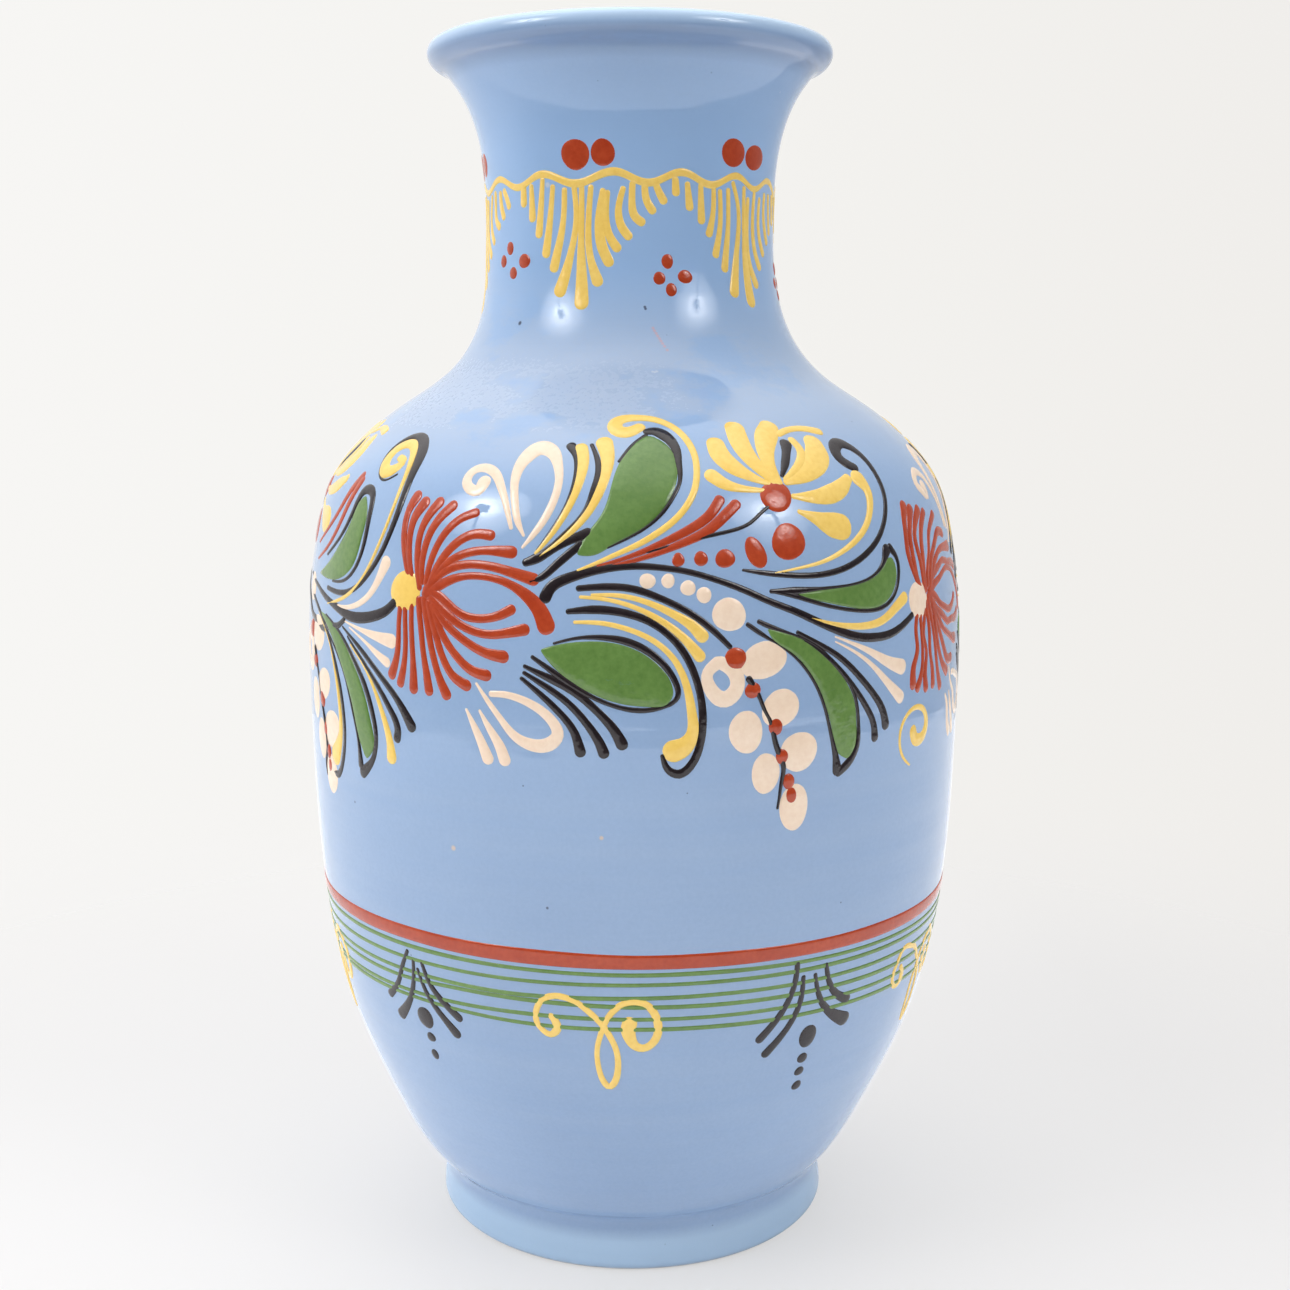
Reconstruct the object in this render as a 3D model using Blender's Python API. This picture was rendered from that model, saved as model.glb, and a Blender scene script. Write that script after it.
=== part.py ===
"""Slip-decorated pottery vase: thrown clay sections, a luted foot ring and rim roll, and raised slip ornament.

Metres, +Z up. The origin is the middle of the foot's underside, and the front of the ornament faces -Y.
Places on the wall are given as (azimuth, rise): degrees round the axis from the front, positive to +X,
and millimetres of wall measured from the foot up along the clay.
"""

import math

import bmesh
import bpy
import numpy as np

MM = 0.001
SIDES = 48  # facets round every turned piece
GAP = 0.3  # clearance between touching pieces, mm
RELIEF = 0.6  # thickness of a slip stroke, mm
MOST_DIP = 0.15  # how far a stroke's flat facets may dip towards the clay, mm

# Outer wall: (radius, height) in mm, from the foot up to the rim. A smooth curve passes through them.
WALL_OUTLINE = (
    (62.0, 16.8), (65.5, 20.5), (77.0, 40), (88.3, 66), (95.5, 95), (99.2, 130), (100.2, 165),
    (99.8, 195), (96.9, 216), (91.8, 232), (82.2, 244), (69.6, 254), (55.5, 264), (46.6, 278),
    (43.4, 298), (43.5, 318), (46.0, 334), (50.8, 345), (54.8, 350.6),
)
WALL_THICK = 6.0
FLOOR_THICK = 8.0
FLOOR_FILLET = 6.0  # height of the curve between the floor and the wall inside
FOOT_HEIGHT = 16.5
FOOT_RADIUS = 61.4
FOOT_EDGE_RADIUS = 59.3
FOOT_INNER_RADIUS = 50.0
RIM_RADIUS = 56.4  # middle of the rolled rim
RIM_ROLL = 3.9  # radius of the roll
MOUTH_LIP = 0.8  # how far the wall thickens inwards at the mouth
HEIGHT = 360.0
# Heights of the joints between the thrown sections
BELLY_SEAM = 112.0
SHOULDER_SEAM = 204.0
NECK_SEAM = 262.0
MOUTH_SEAM = 308.0

RUST_BAND = (101.5, 106.0)  # rise of its lower and upper edge
GREEN_LINES = (83.2, 86.2, 90.0, 92.4, 96.4, 99.2)  # rise of each line's middle
GREEN_LINE_WIDTH = 1.2

# Each unit of the frieze: degrees it is turned, mm it sits above the first, and its stretch round the wall
FRIEZE_PLACES = ((0, 0, 1), (88.2, -4.3, 0.92), (172.3, -1, 0.92), (257.5, -2, 0.95))
FAN_AZIMUTHS = (-84, -18, 48, 105, 162, 219)
GARLAND_RISE = 333.2
GARLAND_WAVES = 14
GARLAND_CREST = -6.0  # azimuth of one crest
GARLAND_WAVE = 1.4
GARLAND_WIDTH = 2.2

BLUE = (0.27, 0.42, 0.66)
RUST = (0.46, 0.06, 0.03)
GREEN = (0.08, 0.21, 0.05)
YELLOW = (0.92, 0.64, 0.13)
CREAM = (0.90, 0.74, 0.58)
BLACK = (0.024, 0.018, 0.019)


def material(name, colour, roughness=0.18):
    made = bpy.data.materials.new(name)
    made.use_nodes = True
    made.diffuse_color = (*colour, 1.0)
    shader = made.node_tree.nodes["Principled BSDF"]
    shader.inputs["Base Color"].default_value = (*colour, 1.0)
    shader.inputs["Roughness"].default_value = roughness
    shader.inputs["Metallic"].default_value = 0.0
    return made


def add_object(name, bm, look, smooth=True):
    bmesh.ops.recalc_face_normals(bm, faces=bm.faces)
    mesh = bpy.data.meshes.new(name)
    bm.to_mesh(mesh)
    bm.free()
    mesh.materials.append(look)
    if smooth:
        mesh.shade_smooth()
        mesh.set_sharp_from_angle(angle=math.radians(35))
    made = bpy.data.objects.new(name, mesh)
    bpy.context.collection.objects.link(made)
    return made


# The wall as a curve


def smooth_curve(points, steps=24):
    """Natural cubic spline through the points, by chord length."""
    p = np.array(points, float)
    t = np.concatenate(([0.0], np.cumsum(np.hypot(*np.diff(p, axis=0).T))))
    n, h = len(t), np.diff(t)
    lhs, rhs = np.eye(n), np.zeros((n, 2))
    for i in range(1, n - 1):
        lhs[i, i - 1:i + 2] = h[i - 1], 2 * (h[i - 1] + h[i]), h[i]
        rhs[i] = 6 * ((p[i + 1] - p[i]) / h[i] - (p[i] - p[i - 1]) / h[i - 1])
    bend = np.linalg.solve(lhs, rhs)
    run = []
    for i in range(n - 1):
        x = np.linspace(0, h[i], steps, endpoint=False)[:, None]
        slope = (p[i + 1] - p[i]) / h[i] - h[i] * (2 * bend[i] + bend[i + 1]) / 6
        run.append(p[i] + slope * x + bend[i] * x**2 / 2 + (bend[i + 1] - bend[i]) * x**3 / (6 * h[i]))
    return np.vstack(run + [p[-1:]])


OUTER = smooth_curve(WALL_OUTLINE)
RISE_AT_FOOT = 3.7  # the wall's rise where it leaves the foot
RISE = RISE_AT_FOOT + np.concatenate(([0.0], np.cumsum(np.hypot(*np.diff(OUTER, axis=0).T))))


def wall_at(rise):
    """Radius, height and outward slope (radial, upward) of the outer wall at a rise."""
    radius, height = (float(np.interp(rise, RISE, OUTER[:, k])) for k in (0, 1))
    ahead, behind = rise + 1.0, rise - 1.0
    dr = float(np.interp(ahead, RISE, OUTER[:, 0]) - np.interp(behind, RISE, OUTER[:, 0]))
    dz = float(np.interp(ahead, RISE, OUTER[:, 1]) - np.interp(behind, RISE, OUTER[:, 1]))
    size = math.hypot(dr, dz)
    return radius, height, dz / size, -dr / size


def rise_of(height):
    return float(np.interp(height, OUTER[:, 1], RISE))


def on_wall(azimuth, rise, lift):
    """World point (metres) at an azimuth and rise, lifted off the clay by lift mm."""
    radius, height, out, up = wall_at(rise)
    r, a = radius + lift * out, math.radians(azimuth)
    return r * math.sin(a) * MM, -r * math.cos(a) * MM, (height + lift * up) * MM


def inner_wall(height):
    """(radius, height) on the inner face, square to the outer wall at this height."""
    radius, z, out, up = wall_at(rise_of(height))
    return radius - WALL_THICK * out, z - WALL_THICK * up


def outer_run(low, high, spacing):
    """Points of the outer wall between two heights, about this far apart along the clay."""
    first, last = rise_of(low), rise_of(high)
    count = max(2, round((last - first) / spacing) + 1)
    return [wall_at(rise)[:2] for rise in np.linspace(first, last, count)]


def cut_run(run, low, high):
    """The run of (radius, height) points kept between two heights, with its ends on them."""
    run = np.array(run)
    heights = [low] + [z for z in run[:, 1] if low + 2 < z < high - 2] + [high]
    return [(float(np.interp(z, run[:, 1], run[:, 0])), z) for z in heights]


def inner_run(low, high, spacing):
    heights = [wall_at(rise)[1] for rise in np.arange(rise_of(17.0), rise_of(350.6), spacing)]
    return cut_run([inner_wall(z) for z in heights], low, high)


# Turned pieces


def turned(name, section, look):
    """Closed ring or disc spun from a section of (radius, height) points; radius 0 closes on the axis."""
    bm = bmesh.new()
    rings = []
    for radius, height in section:
        if radius == 0:
            rings.append([bm.verts.new((0, 0, height * MM))] * SIDES)
            continue
        angles = [2 * math.pi * k / SIDES for k in range(SIDES)]
        rings.append([bm.verts.new((radius * math.sin(a) * MM, -radius * math.cos(a) * MM, height * MM))
                      for a in angles])
    open_ended = section[0][0] == 0
    pairs = list(zip(rings, rings[1:])) + ([] if open_ended else [(rings[-1], rings[0])])
    for low, high in pairs:
        for k in range(SIDES):
            corners = (low[k], low[k - 1], high[k - 1], high[k])
            bm.faces.new(list(dict.fromkeys(corners)))
    bmesh.ops.triangulate(bm, faces=bm.faces)
    return add_object(name, bm, look)


def foot_ring(look):
    edge = 1.6  # rounding where the outside turns under
    section = [
        (FOOT_INNER_RADIUS, 0), (FOOT_EDGE_RADIUS - edge, 0), (FOOT_EDGE_RADIUS, edge * 0.6),
        (FOOT_RADIUS - 0.4, 4.0), (FOOT_RADIUS, 8.0), (FOOT_RADIUS - 0.2, 13.0),
        (FOOT_RADIUS - 1.0, FOOT_HEIGHT), (FOOT_INNER_RADIUS + 1.5, FOOT_HEIGHT),
    ]
    turned("foot_ring", section, look)


def lower_bowl(look):
    underside = FOOT_HEIGHT + GAP
    floor_top = underside + FLOOR_THICK
    inside = inner_run(floor_top + FLOOR_FILLET, BELLY_SEAM, 24)
    fillet = [(inside[0][0] - 0.75 * FLOOR_FILLET, floor_top + FLOOR_FILLET / 6),
              (inside[0][0] - 2.2 * FLOOR_FILLET, floor_top)]
    section = [(0, underside)] + outer_run(underside, BELLY_SEAM, 17)
    section += inside[::-1] + fillet + [(0, floor_top)]
    turned("lower_bowl", section, look)


def wall_section(name, low, high, look):
    """Open ring of wall between two joints."""
    base = low + GAP
    turned(name, outer_run(base, high, 14) + inner_run(base, high, 19)[::-1], look)


def mouth(look):
    base, top = MOUTH_SEAM + GAP, WALL_OUTLINE[-1][1]
    section = outer_run(base, top, 10) + [(mouth_radius(), top)] + inner_run(base, top - 6, 14)[::-1]
    turned("mouth", section, look)


def mouth_radius():
    return inner_wall(WALL_OUTLINE[-1][1])[0] - MOUTH_LIP


def rim_roll(look):
    base = WALL_OUTLINE[-1][1] + GAP
    centre = HEIGHT - RIM_ROLL
    inner = mouth_radius()
    turns = [math.radians(a) for a in range(-60, 121, 30)]
    roll = [(RIM_RADIUS + RIM_ROLL * math.cos(a), centre + RIM_ROLL * math.sin(a)) for a in turns]
    section = [(inner, base), (WALL_OUTLINE[-1][0], base)] + roll + [(inner + 1.3, centre + 1.2)]
    turned("rim_roll", section, look)


def wall_hoop(name, low, high, look):
    """Raised slip hoop between two rises."""
    middle = [(low + high) / 2] if high - low < 2 else [low + 0.3, high - 0.3]
    section = [wall_point(low, GAP)] + [wall_point(rise, GAP + RELIEF) for rise in middle]
    turned(name, section + [wall_point(high, GAP)], look)


def wall_point(rise, lift):
    radius, height, out, up = wall_at(rise)
    return radius + lift * out, height + lift * up


# Slip ornament: flat shapes in (azimuth, rise), then thickened and bent round the wall


def degrees_per_mm(rise):
    return 180 / (math.pi * wall_at(rise)[0])


def stroke_outline(route, widths):
    """Both sides of a stroke along a hand-drawn route of (azimuth, rise), as mm wide as widths say."""
    scale = degrees_per_mm(sum(rise for _, rise in route) / len(route))
    flat = smooth_curve([(azimuth / scale, rise) for azimuth, rise in route], 2)
    along = np.gradient(flat, axis=0)
    along /= np.hypot(*along.T)[:, None]
    side = np.stack((-along[:, 1], along[:, 0]), axis=1)
    half = np.interp(np.linspace(0, 1, len(flat)), np.linspace(0, 1, len(widths)), widths)[:, None] / 2
    to_degrees = np.array((scale, 1.0))
    return (flat + side * half) * to_degrees, (flat - side * half) * to_degrees


def add_strip(bm, left, right):
    """Quads between two sides of equal length; the sides hold bmesh vertices."""
    for a, b, c, d in zip(left, left[1:], right[1:], right):
        bm.faces.new(list(dict.fromkeys((a, b, c, d))))


def flat_verts(bm, points):
    return [bm.verts.new((azimuth, rise, 0)) for azimuth, rise in points]


def wrap(name, bm, look, place):
    """Thickens a flat pattern and bends it round the wall, placed by (degrees round, mm up, stretch)."""
    bmesh.ops.triangulate(bm, faces=bm.faces)
    for _ in range(3):
        dipping = [edge for edge in bm.edges if chord_dip(edge) > MOST_DIP]
        if not dipping:
            break
        bmesh.ops.subdivide_edges(bm, edges=dipping, cuts=1)
        bmesh.ops.triangulate(bm, faces=bm.faces)
    top = bmesh.ops.extrude_face_region(bm, geom=bm.faces[:], use_keep_orig=True)["geom"]
    raised = {v for v in top if isinstance(v, bmesh.types.BMVert)}
    for vert in bm.verts:
        lift = GAP + (RELIEF if vert in raised else 0)
        vert.co = on_wall(vert.co.x * place[2] + place[0], vert.co.y + place[1], lift)
    bmesh.ops.triangulate(bm, faces=bm.faces)
    return add_object(name, bm, look, smooth=False)


def chord_dip(edge):
    """How far the straight edge between two wrapped points sinks below the wall's own curve, in mm."""
    a, b = (v.co for v in edge.verts)
    middle = ((a.x + b.x) / 2, (a.y + b.y) / 2)
    _, _, out, up = wall_at(middle[1])
    angle = math.radians(middle[0])
    outward = np.array((out * math.sin(angle), -out * math.cos(angle), up))
    chord = (np.array(on_wall(a.x, a.y, 0)) + np.array(on_wall(b.x, b.y, 0))) / 2
    return float(outward @ (np.array(on_wall(*middle, 0)) - chord)) / MM


def stroke(name, route, widths, look, place):
    """One slip stroke, pointed where its width is 0."""
    bm = bmesh.new()
    left, right = stroke_outline(route, widths)
    left, right = flat_verts(bm, left), flat_verts(bm, right)
    if widths[0] == 0:
        bm.verts.remove(right[0])
        right[0] = left[0]
    if widths[-1] == 0:
        bm.verts.remove(right[-1])
        right[-1] = left[-1]
    add_strip(bm, left, right)
    wrap(name, bm, look, place)


def disc(name, centre, width, height, look, place, corners=14):
    bm = bmesh.new()
    azimuth, rise = centre
    scale = degrees_per_mm(rise)
    turns = [2 * math.pi * k / corners for k in range(corners)]
    ring = flat_verts(bm, [(azimuth + width / 2 * scale * math.cos(a), rise + height / 2 * math.sin(a))
                           for a in turns])
    middle = bm.verts.new((azimuth, rise, 0))
    for k in range(corners):
        bm.faces.new((middle, ring[k - 1], ring[k]))
    wrap(name, bm, look, place)


def petal_fan(name, centre, hub, arc, tips, widths, look, place):
    """A crescent round an eye, with one petal drawn out of it to each tip.

    hub is the crescent's inner and outer radius in mm, arc its first and last angle in degrees, and
    widths are a petal's mm width near its root, its middle and its end.
    """
    bm = bmesh.new()
    azimuth, rise = centre
    scale = degrees_per_mm(rise)

    def ring(radius):
        angles = np.radians(np.linspace(*arc, len(tips) + 1))
        return flat_verts(bm, [(azimuth + radius * scale * math.cos(a), rise + radius * math.sin(a))
                               for a in angles])

    clockwise = arc[1] < arc[0]
    inner, outer = ring(hub[0]), ring(hub[1])
    add_strip(bm, inner, outer)
    for k, tip in enumerate(tips):
        root = [(outer[k].co.x + outer[k + 1].co.x) / 2, (outer[k].co.y + outer[k + 1].co.y) / 2]
        out = np.array(((root[0] - azimuth) / scale, root[1] - rise)) * 0.5
        quarter = [(tip[axis] - root[axis]) / 4 for axis in (0, 1)]
        knee = (root[0] + out[0] * scale + quarter[0], root[1] + out[1] + quarter[1])
        left, right = stroke_outline([root, knee, tip], widths)
        left, right = flat_verts(bm, left[2:]), flat_verts(bm, right[2:])
        first, second = (outer[k], outer[k + 1]) if clockwise else (outer[k + 1], outer[k])
        add_strip(bm, [first] + left, [second] + right)
    wrap(name, bm, look, place)


def tassel_fan(name, azimuth_of_fan, look):
    """Slip drops of uneven length that hang from one short swag under the garland."""
    bm = bmesh.new()
    count, spread, longest = 12, 4.5, 30.0
    azimuths = [spread * (k - (count - 1) / 2) for k in range(count)]
    swag = GARLAND_RISE - GARLAND_WAVE - GARLAND_WIDTH / 2 - GAP
    half = 0.36 * spread
    sides = [a + s for a in azimuths for s in (-half, half)]
    upper = flat_verts(bm, [(a, swag - 0.2) for a in sides])
    lower = flat_verts(bm, [(a, swag - 1.8) for a in sides])
    add_strip(bm, upper, lower)
    for k, azimuth in enumerate(azimuths):
        drop = 4.0 + (longest - 4.0) * (1 - abs(azimuth) / (spread * count / 2)) ** 1.1
        drift = -0.12 * azimuth
        rows = [(0.9, 0.33), (1.0, 0.19)]
        left, right = [lower[2 * k]], [lower[2 * k + 1]]
        for share, half_width in rows:
            middle, rise = azimuth + drift * share, swag - 1.8 - drop * share
            left += flat_verts(bm, [(middle - half_width * spread, rise)])
            right += flat_verts(bm, [(middle + half_width * spread, rise)])
        add_strip(bm, left, right)
    wrap(name, bm, look, (azimuth_of_fan, 0, 1))


def garland(look):
    """The wavy slip ring round the neck."""
    bm = bmesh.new()
    count = GARLAND_WAVES * 6
    rings = []
    for lift, offset in ((GAP, -1), (GAP + RELIEF, 0), (GAP, 1)):
        ring = []
        for k in range(count):
            azimuth = 360 * k / count
            wave = GARLAND_WAVE * math.cos(math.radians(GARLAND_WAVES * (azimuth - GARLAND_CREST)))
            rise = GARLAND_RISE + wave + offset * GARLAND_WIDTH / 2
            ring.append(bm.verts.new(on_wall(azimuth, rise, lift)))
        rings.append(ring)
    for a, b in zip(rings, rings[1:] + rings[:1]):
        for k in range(count):
            bm.faces.new((a[k], a[k - 1], b[k - 1], b[k]))
    bmesh.ops.triangulate(bm, faces=bm.faces)
    add_object("neck_garland", bm, look)


RUST_PETAL_TIPS = (
    (-40.0, 226.5), (-36.5, 226.5), (-32.5, 226), (-28.0, 224), (-23.0, 218.5), (-18.5, 213),
    (-14.5, 205.5), (-12.5, 195), (-17.0, 189), (-20.0, 184.5), (-24.0, 179.5), (-29.0, 174.5),
    (-33.5, 174), (-37.0, 174.5), (-40.5, 177.5),
)
YELLOW_PETAL_TIPS = (
    (36.0, 219), (40.0, 230.5), (37.0, 242.5), (30.5, 249.5), (25.0, 251), (20.5, 250.5), (15.5, 244),
    (13.0, 234.5),
)


# Leaves: name, route from stalk to tip, and widths along it
LEAVES = (
    ("leaf_upper", [(-8, 214.5), (-2, 221), (2, 231), (4.5, 246)], (0, 13, 14, 5)),
    ("leaf_lower", [(-13.5, 189), (-7, 185.5), (0, 181.5), (6, 177)], (0, 11, 12, 6)),
    ("leaf_side", [(26, 203.5), (34, 203), (41, 203.5), (46, 210)], (0, 5, 7.5, 3)),
    ("leaf_long", [(21, 192), (28, 184), (33, 172), (34.5, 157)], (0, 6, 7.5, 5)),
)


def frieze_unit(number, looks):
    """One quarter of the painted frieze: a rust flower, its stem, four leaves and a yellow flower."""
    place = FRIEZE_PLACES[number - 1]
    rust, green, yellow, cream, black = looks
    petal_fan(f"rust_flower_{number}", (-38.5, 200.5), (6.4, 8.4), (105, -105), RUST_PETAL_TIPS,
              (1.4, 1.7, 3.0), rust, place)
    eye = yellow if number % 2 else cream
    disc(f"rust_flower_eye_{number}", (-38.5, 200.5), 10.8, 11.4, eye, place)
    petal_fan(f"yellow_flower_{number}", (24.0, 227.0), (6.0, 8.0), (-62, 188), YELLOW_PETAL_TIPS,
              (2.8, 5.5, 6.5), yellow, place)
    disc(f"yellow_flower_eye_{number}", (24.0, 227.0), 9.6, 9.0, rust, place, corners=12)
    vine = [(-5, 209.5), (4, 210), (12, 207), (20, 200), (29, 193.5), (38, 189), (45, 190)]
    stroke(f"stem_{number}", vine, (1.0, 2.4, 2.4, 2.8), black, place)
    for name, route, widths in LEAVES:
        stroke(f"{name}_{number}", route, widths, green, place)


def clear_scene():
    for item in list(bpy.data.objects):
        bpy.data.objects.remove(item)


def build():
    clear_scene()
    glaze = material("blue_glaze", BLUE)
    looks = [material(*pair) for pair in (
        ("rust_slip", RUST), ("green_slip", GREEN), ("yellow_slip", YELLOW), ("cream_slip", CREAM),
        ("black_slip", BLACK))]
    rust, green, yellow = looks[:3]
    foot_ring(glaze)
    lower_bowl(glaze)
    wall_section("belly", BELLY_SEAM, SHOULDER_SEAM, glaze)
    wall_section("shoulder", SHOULDER_SEAM, NECK_SEAM, glaze)
    wall_section("neck", NECK_SEAM, MOUTH_SEAM, glaze)
    mouth(glaze)
    rim_roll(glaze)
    wall_hoop("rust_band", *RUST_BAND, rust)
    for number, rise in enumerate(GREEN_LINES, 1):
        wall_hoop(f"green_line_{number}", rise - GREEN_LINE_WIDTH / 2, rise + GREEN_LINE_WIDTH / 2, green)
    garland(yellow)
    for number, azimuth in enumerate(FAN_AZIMUTHS, 1):
        tassel_fan(f"tassel_fan_{number}", azimuth, yellow)
    for number in range(1, len(FRIEZE_PLACES) + 1):
        frieze_unit(number, looks)


build()
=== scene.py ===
"""Looks of the slip-decorated pottery vase: turned clay, hand-drawn raised slip, glaze, floor and light.

Places on the wall are (azimuth, rise): degrees round the axis from the front, positive to +X, and
millimetres of wall measured up along the clay from the foot. Widths and heights are in millimetres.
"""

import math
import random

import bmesh
import bpy
import numpy as np
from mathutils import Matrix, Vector

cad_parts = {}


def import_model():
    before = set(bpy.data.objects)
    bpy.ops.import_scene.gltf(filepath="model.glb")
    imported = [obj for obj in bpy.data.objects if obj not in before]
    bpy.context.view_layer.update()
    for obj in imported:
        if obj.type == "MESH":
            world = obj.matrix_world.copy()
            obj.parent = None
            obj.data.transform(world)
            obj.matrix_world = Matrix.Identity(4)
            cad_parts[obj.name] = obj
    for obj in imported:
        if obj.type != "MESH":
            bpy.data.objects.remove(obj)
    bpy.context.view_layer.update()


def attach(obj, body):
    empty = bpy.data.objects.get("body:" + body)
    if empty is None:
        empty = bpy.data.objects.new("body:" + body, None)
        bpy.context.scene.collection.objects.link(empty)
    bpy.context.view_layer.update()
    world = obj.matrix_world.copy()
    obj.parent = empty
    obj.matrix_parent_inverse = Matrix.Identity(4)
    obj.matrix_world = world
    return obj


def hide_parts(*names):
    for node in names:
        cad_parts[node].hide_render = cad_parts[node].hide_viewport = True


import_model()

MM = 0.001

# The clay body, as in the CAD: (radius, height) of the outer wall from the foot to the rim
WALL_OUTLINE = (
    (62.0, 16.8), (65.5, 20.5), (77.0, 40), (88.3, 66), (95.5, 95), (99.2, 130), (100.2, 165),
    (99.8, 195), (96.9, 216), (91.8, 232), (82.2, 244), (69.6, 254), (55.5, 264), (46.6, 278),
    (43.4, 298), (43.5, 318), (46.0, 334), (50.8, 345), (54.8, 350.6),
)
RISE_AT_FOOT = 3.7
WALL_THICK = 6.0
FLOOR_TOP = 24.8
BOWL_UNDERSIDE = 16.9
BOWL_END = (63.3, 18.1)  # (radius, height) where the bowl rounds into the foot ring
MOUTH_END = (53.0, 348.1)  # and where the mouth rounds into the rolled rim
FLOOR_DIP = 0.3  # how much lower the floor is in its middle
FLOOR_FILLET = ((1.2, 3.2), (3.4, 1.4), (7, 0.4), (12, 0), (30, -0.2))  # (in from the wall, above the floor)
UNDERSIDE_RINGS = (0, 30, 56)
LIP_INSIDE = 48.6  # radius where the rolled rim ends inside
# Sideways drift of the hand-thrown axis, as (height, offset)
LEAN = ((0, -0.2), (30, -0.6), (60, 0.0), (100, 0.28), (265, 0.28), (282, -0.3), (297, -0.9), (360, -0.9))
SPOKES = 192  # segments round a turned piece
OUTER_RINGS, INNER_RINGS = 180, 96  # sections up the wall, outside and inside

CROWN = 0.26  # how far a slip stroke stands off the clay
ROOT = 0.22  # how far its edges are sunk in the clay
STATION = 0.9  # spacing of a stroke's sections along its route


# Curves on the wall


def natural_spline(points, steps):
    """Natural cubic spline through 2-D points, by chord length."""
    p = np.array(points, float)
    t = np.concatenate(([0.0], np.cumsum(np.hypot(*np.diff(p, axis=0).T))))
    n, h = len(t), np.diff(t)
    lhs, rhs = np.eye(n), np.zeros((n, 2))
    for i in range(1, n - 1):
        lhs[i, i - 1:i + 2] = h[i - 1], 2 * (h[i - 1] + h[i]), h[i]
        rhs[i] = 6 * ((p[i + 1] - p[i]) / h[i] - (p[i] - p[i - 1]) / h[i - 1])
    bend = np.linalg.solve(lhs, rhs)
    run = []
    for i in range(n - 1):
        x = np.linspace(0, h[i], steps, endpoint=False)[:, None]
        slope = (p[i + 1] - p[i]) / h[i] - h[i] * (2 * bend[i] + bend[i + 1]) / 6
        run.append(p[i] + slope * x + bend[i] * x**2 / 2 + (bend[i + 1] - bend[i]) * x**3 / (6 * h[i]))
    return np.vstack(run + [p[-1:]])


OUTER = natural_spline(WALL_OUTLINE, 40)
RISE = RISE_AT_FOOT + np.concatenate(([0.0], np.cumsum(np.hypot(*np.diff(OUTER, axis=0).T))))
OUT = np.gradient(OUTER, RISE, axis=0)
OUT = np.stack((OUT[:, 1], -OUT[:, 0]), axis=1) / np.hypot(*OUT.T)[:, None]


def wall_at(rise):
    """Radius, height, and outward direction (radial, upward) of the wall; rise may be an array."""
    return tuple(np.interp(rise, RISE, column) for column in (*OUTER.T, *OUT.T))


def lean_at(height):
    return np.interp(height, *zip(*LEAN))


def on_wall(azimuth, rise, lift):
    """Points in metres, lifted off the clay by lift mm."""
    radius, height, out, up = wall_at(rise)
    r, a = radius + lift * out, np.radians(azimuth)
    return np.stack((r * np.sin(a) + lean_at(height), -r * np.cos(a), height + lift * up), axis=-1) * MM


def mm_per_degree(rise):
    return wall_at(rise)[0] * math.pi / 180


def even_run(points, spacing):
    """The spline through (azimuth, rise) points at even distances, and how far along each point is."""
    points = np.array(points, float)
    scale = np.array((mm_per_degree(points[:, 1].mean()), 1.0))
    fine = natural_spline(points * scale, 12) if len(points) > 1 else points * scale
    far = np.concatenate(([0.0], np.cumsum(np.hypot(*np.diff(fine, axis=0).T))))
    count = max(4, int(round(far[-1] / spacing)) + 1)
    even = np.linspace(0, far[-1], count)
    run = np.stack([np.interp(even, far, column) for column in fine.T], axis=1) / scale
    return run, far[::12] / far[-1]


# Turned pieces


def link(name, data):
    made = bpy.data.objects.new(name, data)
    bpy.context.scene.collection.objects.link(made)
    return made


def make_piece(name, points, faces, material, nodes, smooth_angle=None):
    mesh = bpy.data.meshes.new(name)
    mesh.from_pydata([tuple(p) for p in points], [], faces)
    bm = bmesh.new()
    bm.from_mesh(mesh)
    bmesh.ops.recalc_face_normals(bm, faces=bm.faces)
    bm.to_mesh(mesh)
    bm.free()
    mesh.shade_smooth()
    if smooth_angle:
        mesh.set_sharp_from_angle(angle=math.radians(smooth_angle))
    mesh.materials.append(material)
    piece = link(name, mesh)
    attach(piece, "root")
    if nodes:
        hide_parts(*nodes)
    return piece


def turned(name, section, material, nodes, smooth_angle=None):
    """Closed piece spun from (radius, height) points; a radius of 0 closes it on the axis."""
    angles = np.linspace(0, 2 * math.pi, SPOKES, endpoint=False)
    points, rings = [], []
    for radius, height in section:
        first, lean = len(points), float(lean_at(height))
        if radius == 0:
            points.append((lean * MM, 0, height * MM))
            rings.append([first] * SPOKES)
            continue
        points += [((radius * math.sin(a) + lean) * MM, -radius * math.cos(a) * MM, height * MM)
                   for a in angles]
        rings.append(list(range(first, first + SPOKES)))
    closing = [] if section[0][0] == 0 else [(rings[-1], rings[0])]
    faces = []
    for low, high in list(zip(rings, rings[1:])) + closing:
        for k in range(SPOKES):
            faces.append(tuple(dict.fromkeys((low[k], low[k - 1], high[k - 1], high[k]))))
    return make_piece(name, points, faces, material, nodes, smooth_angle)


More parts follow.
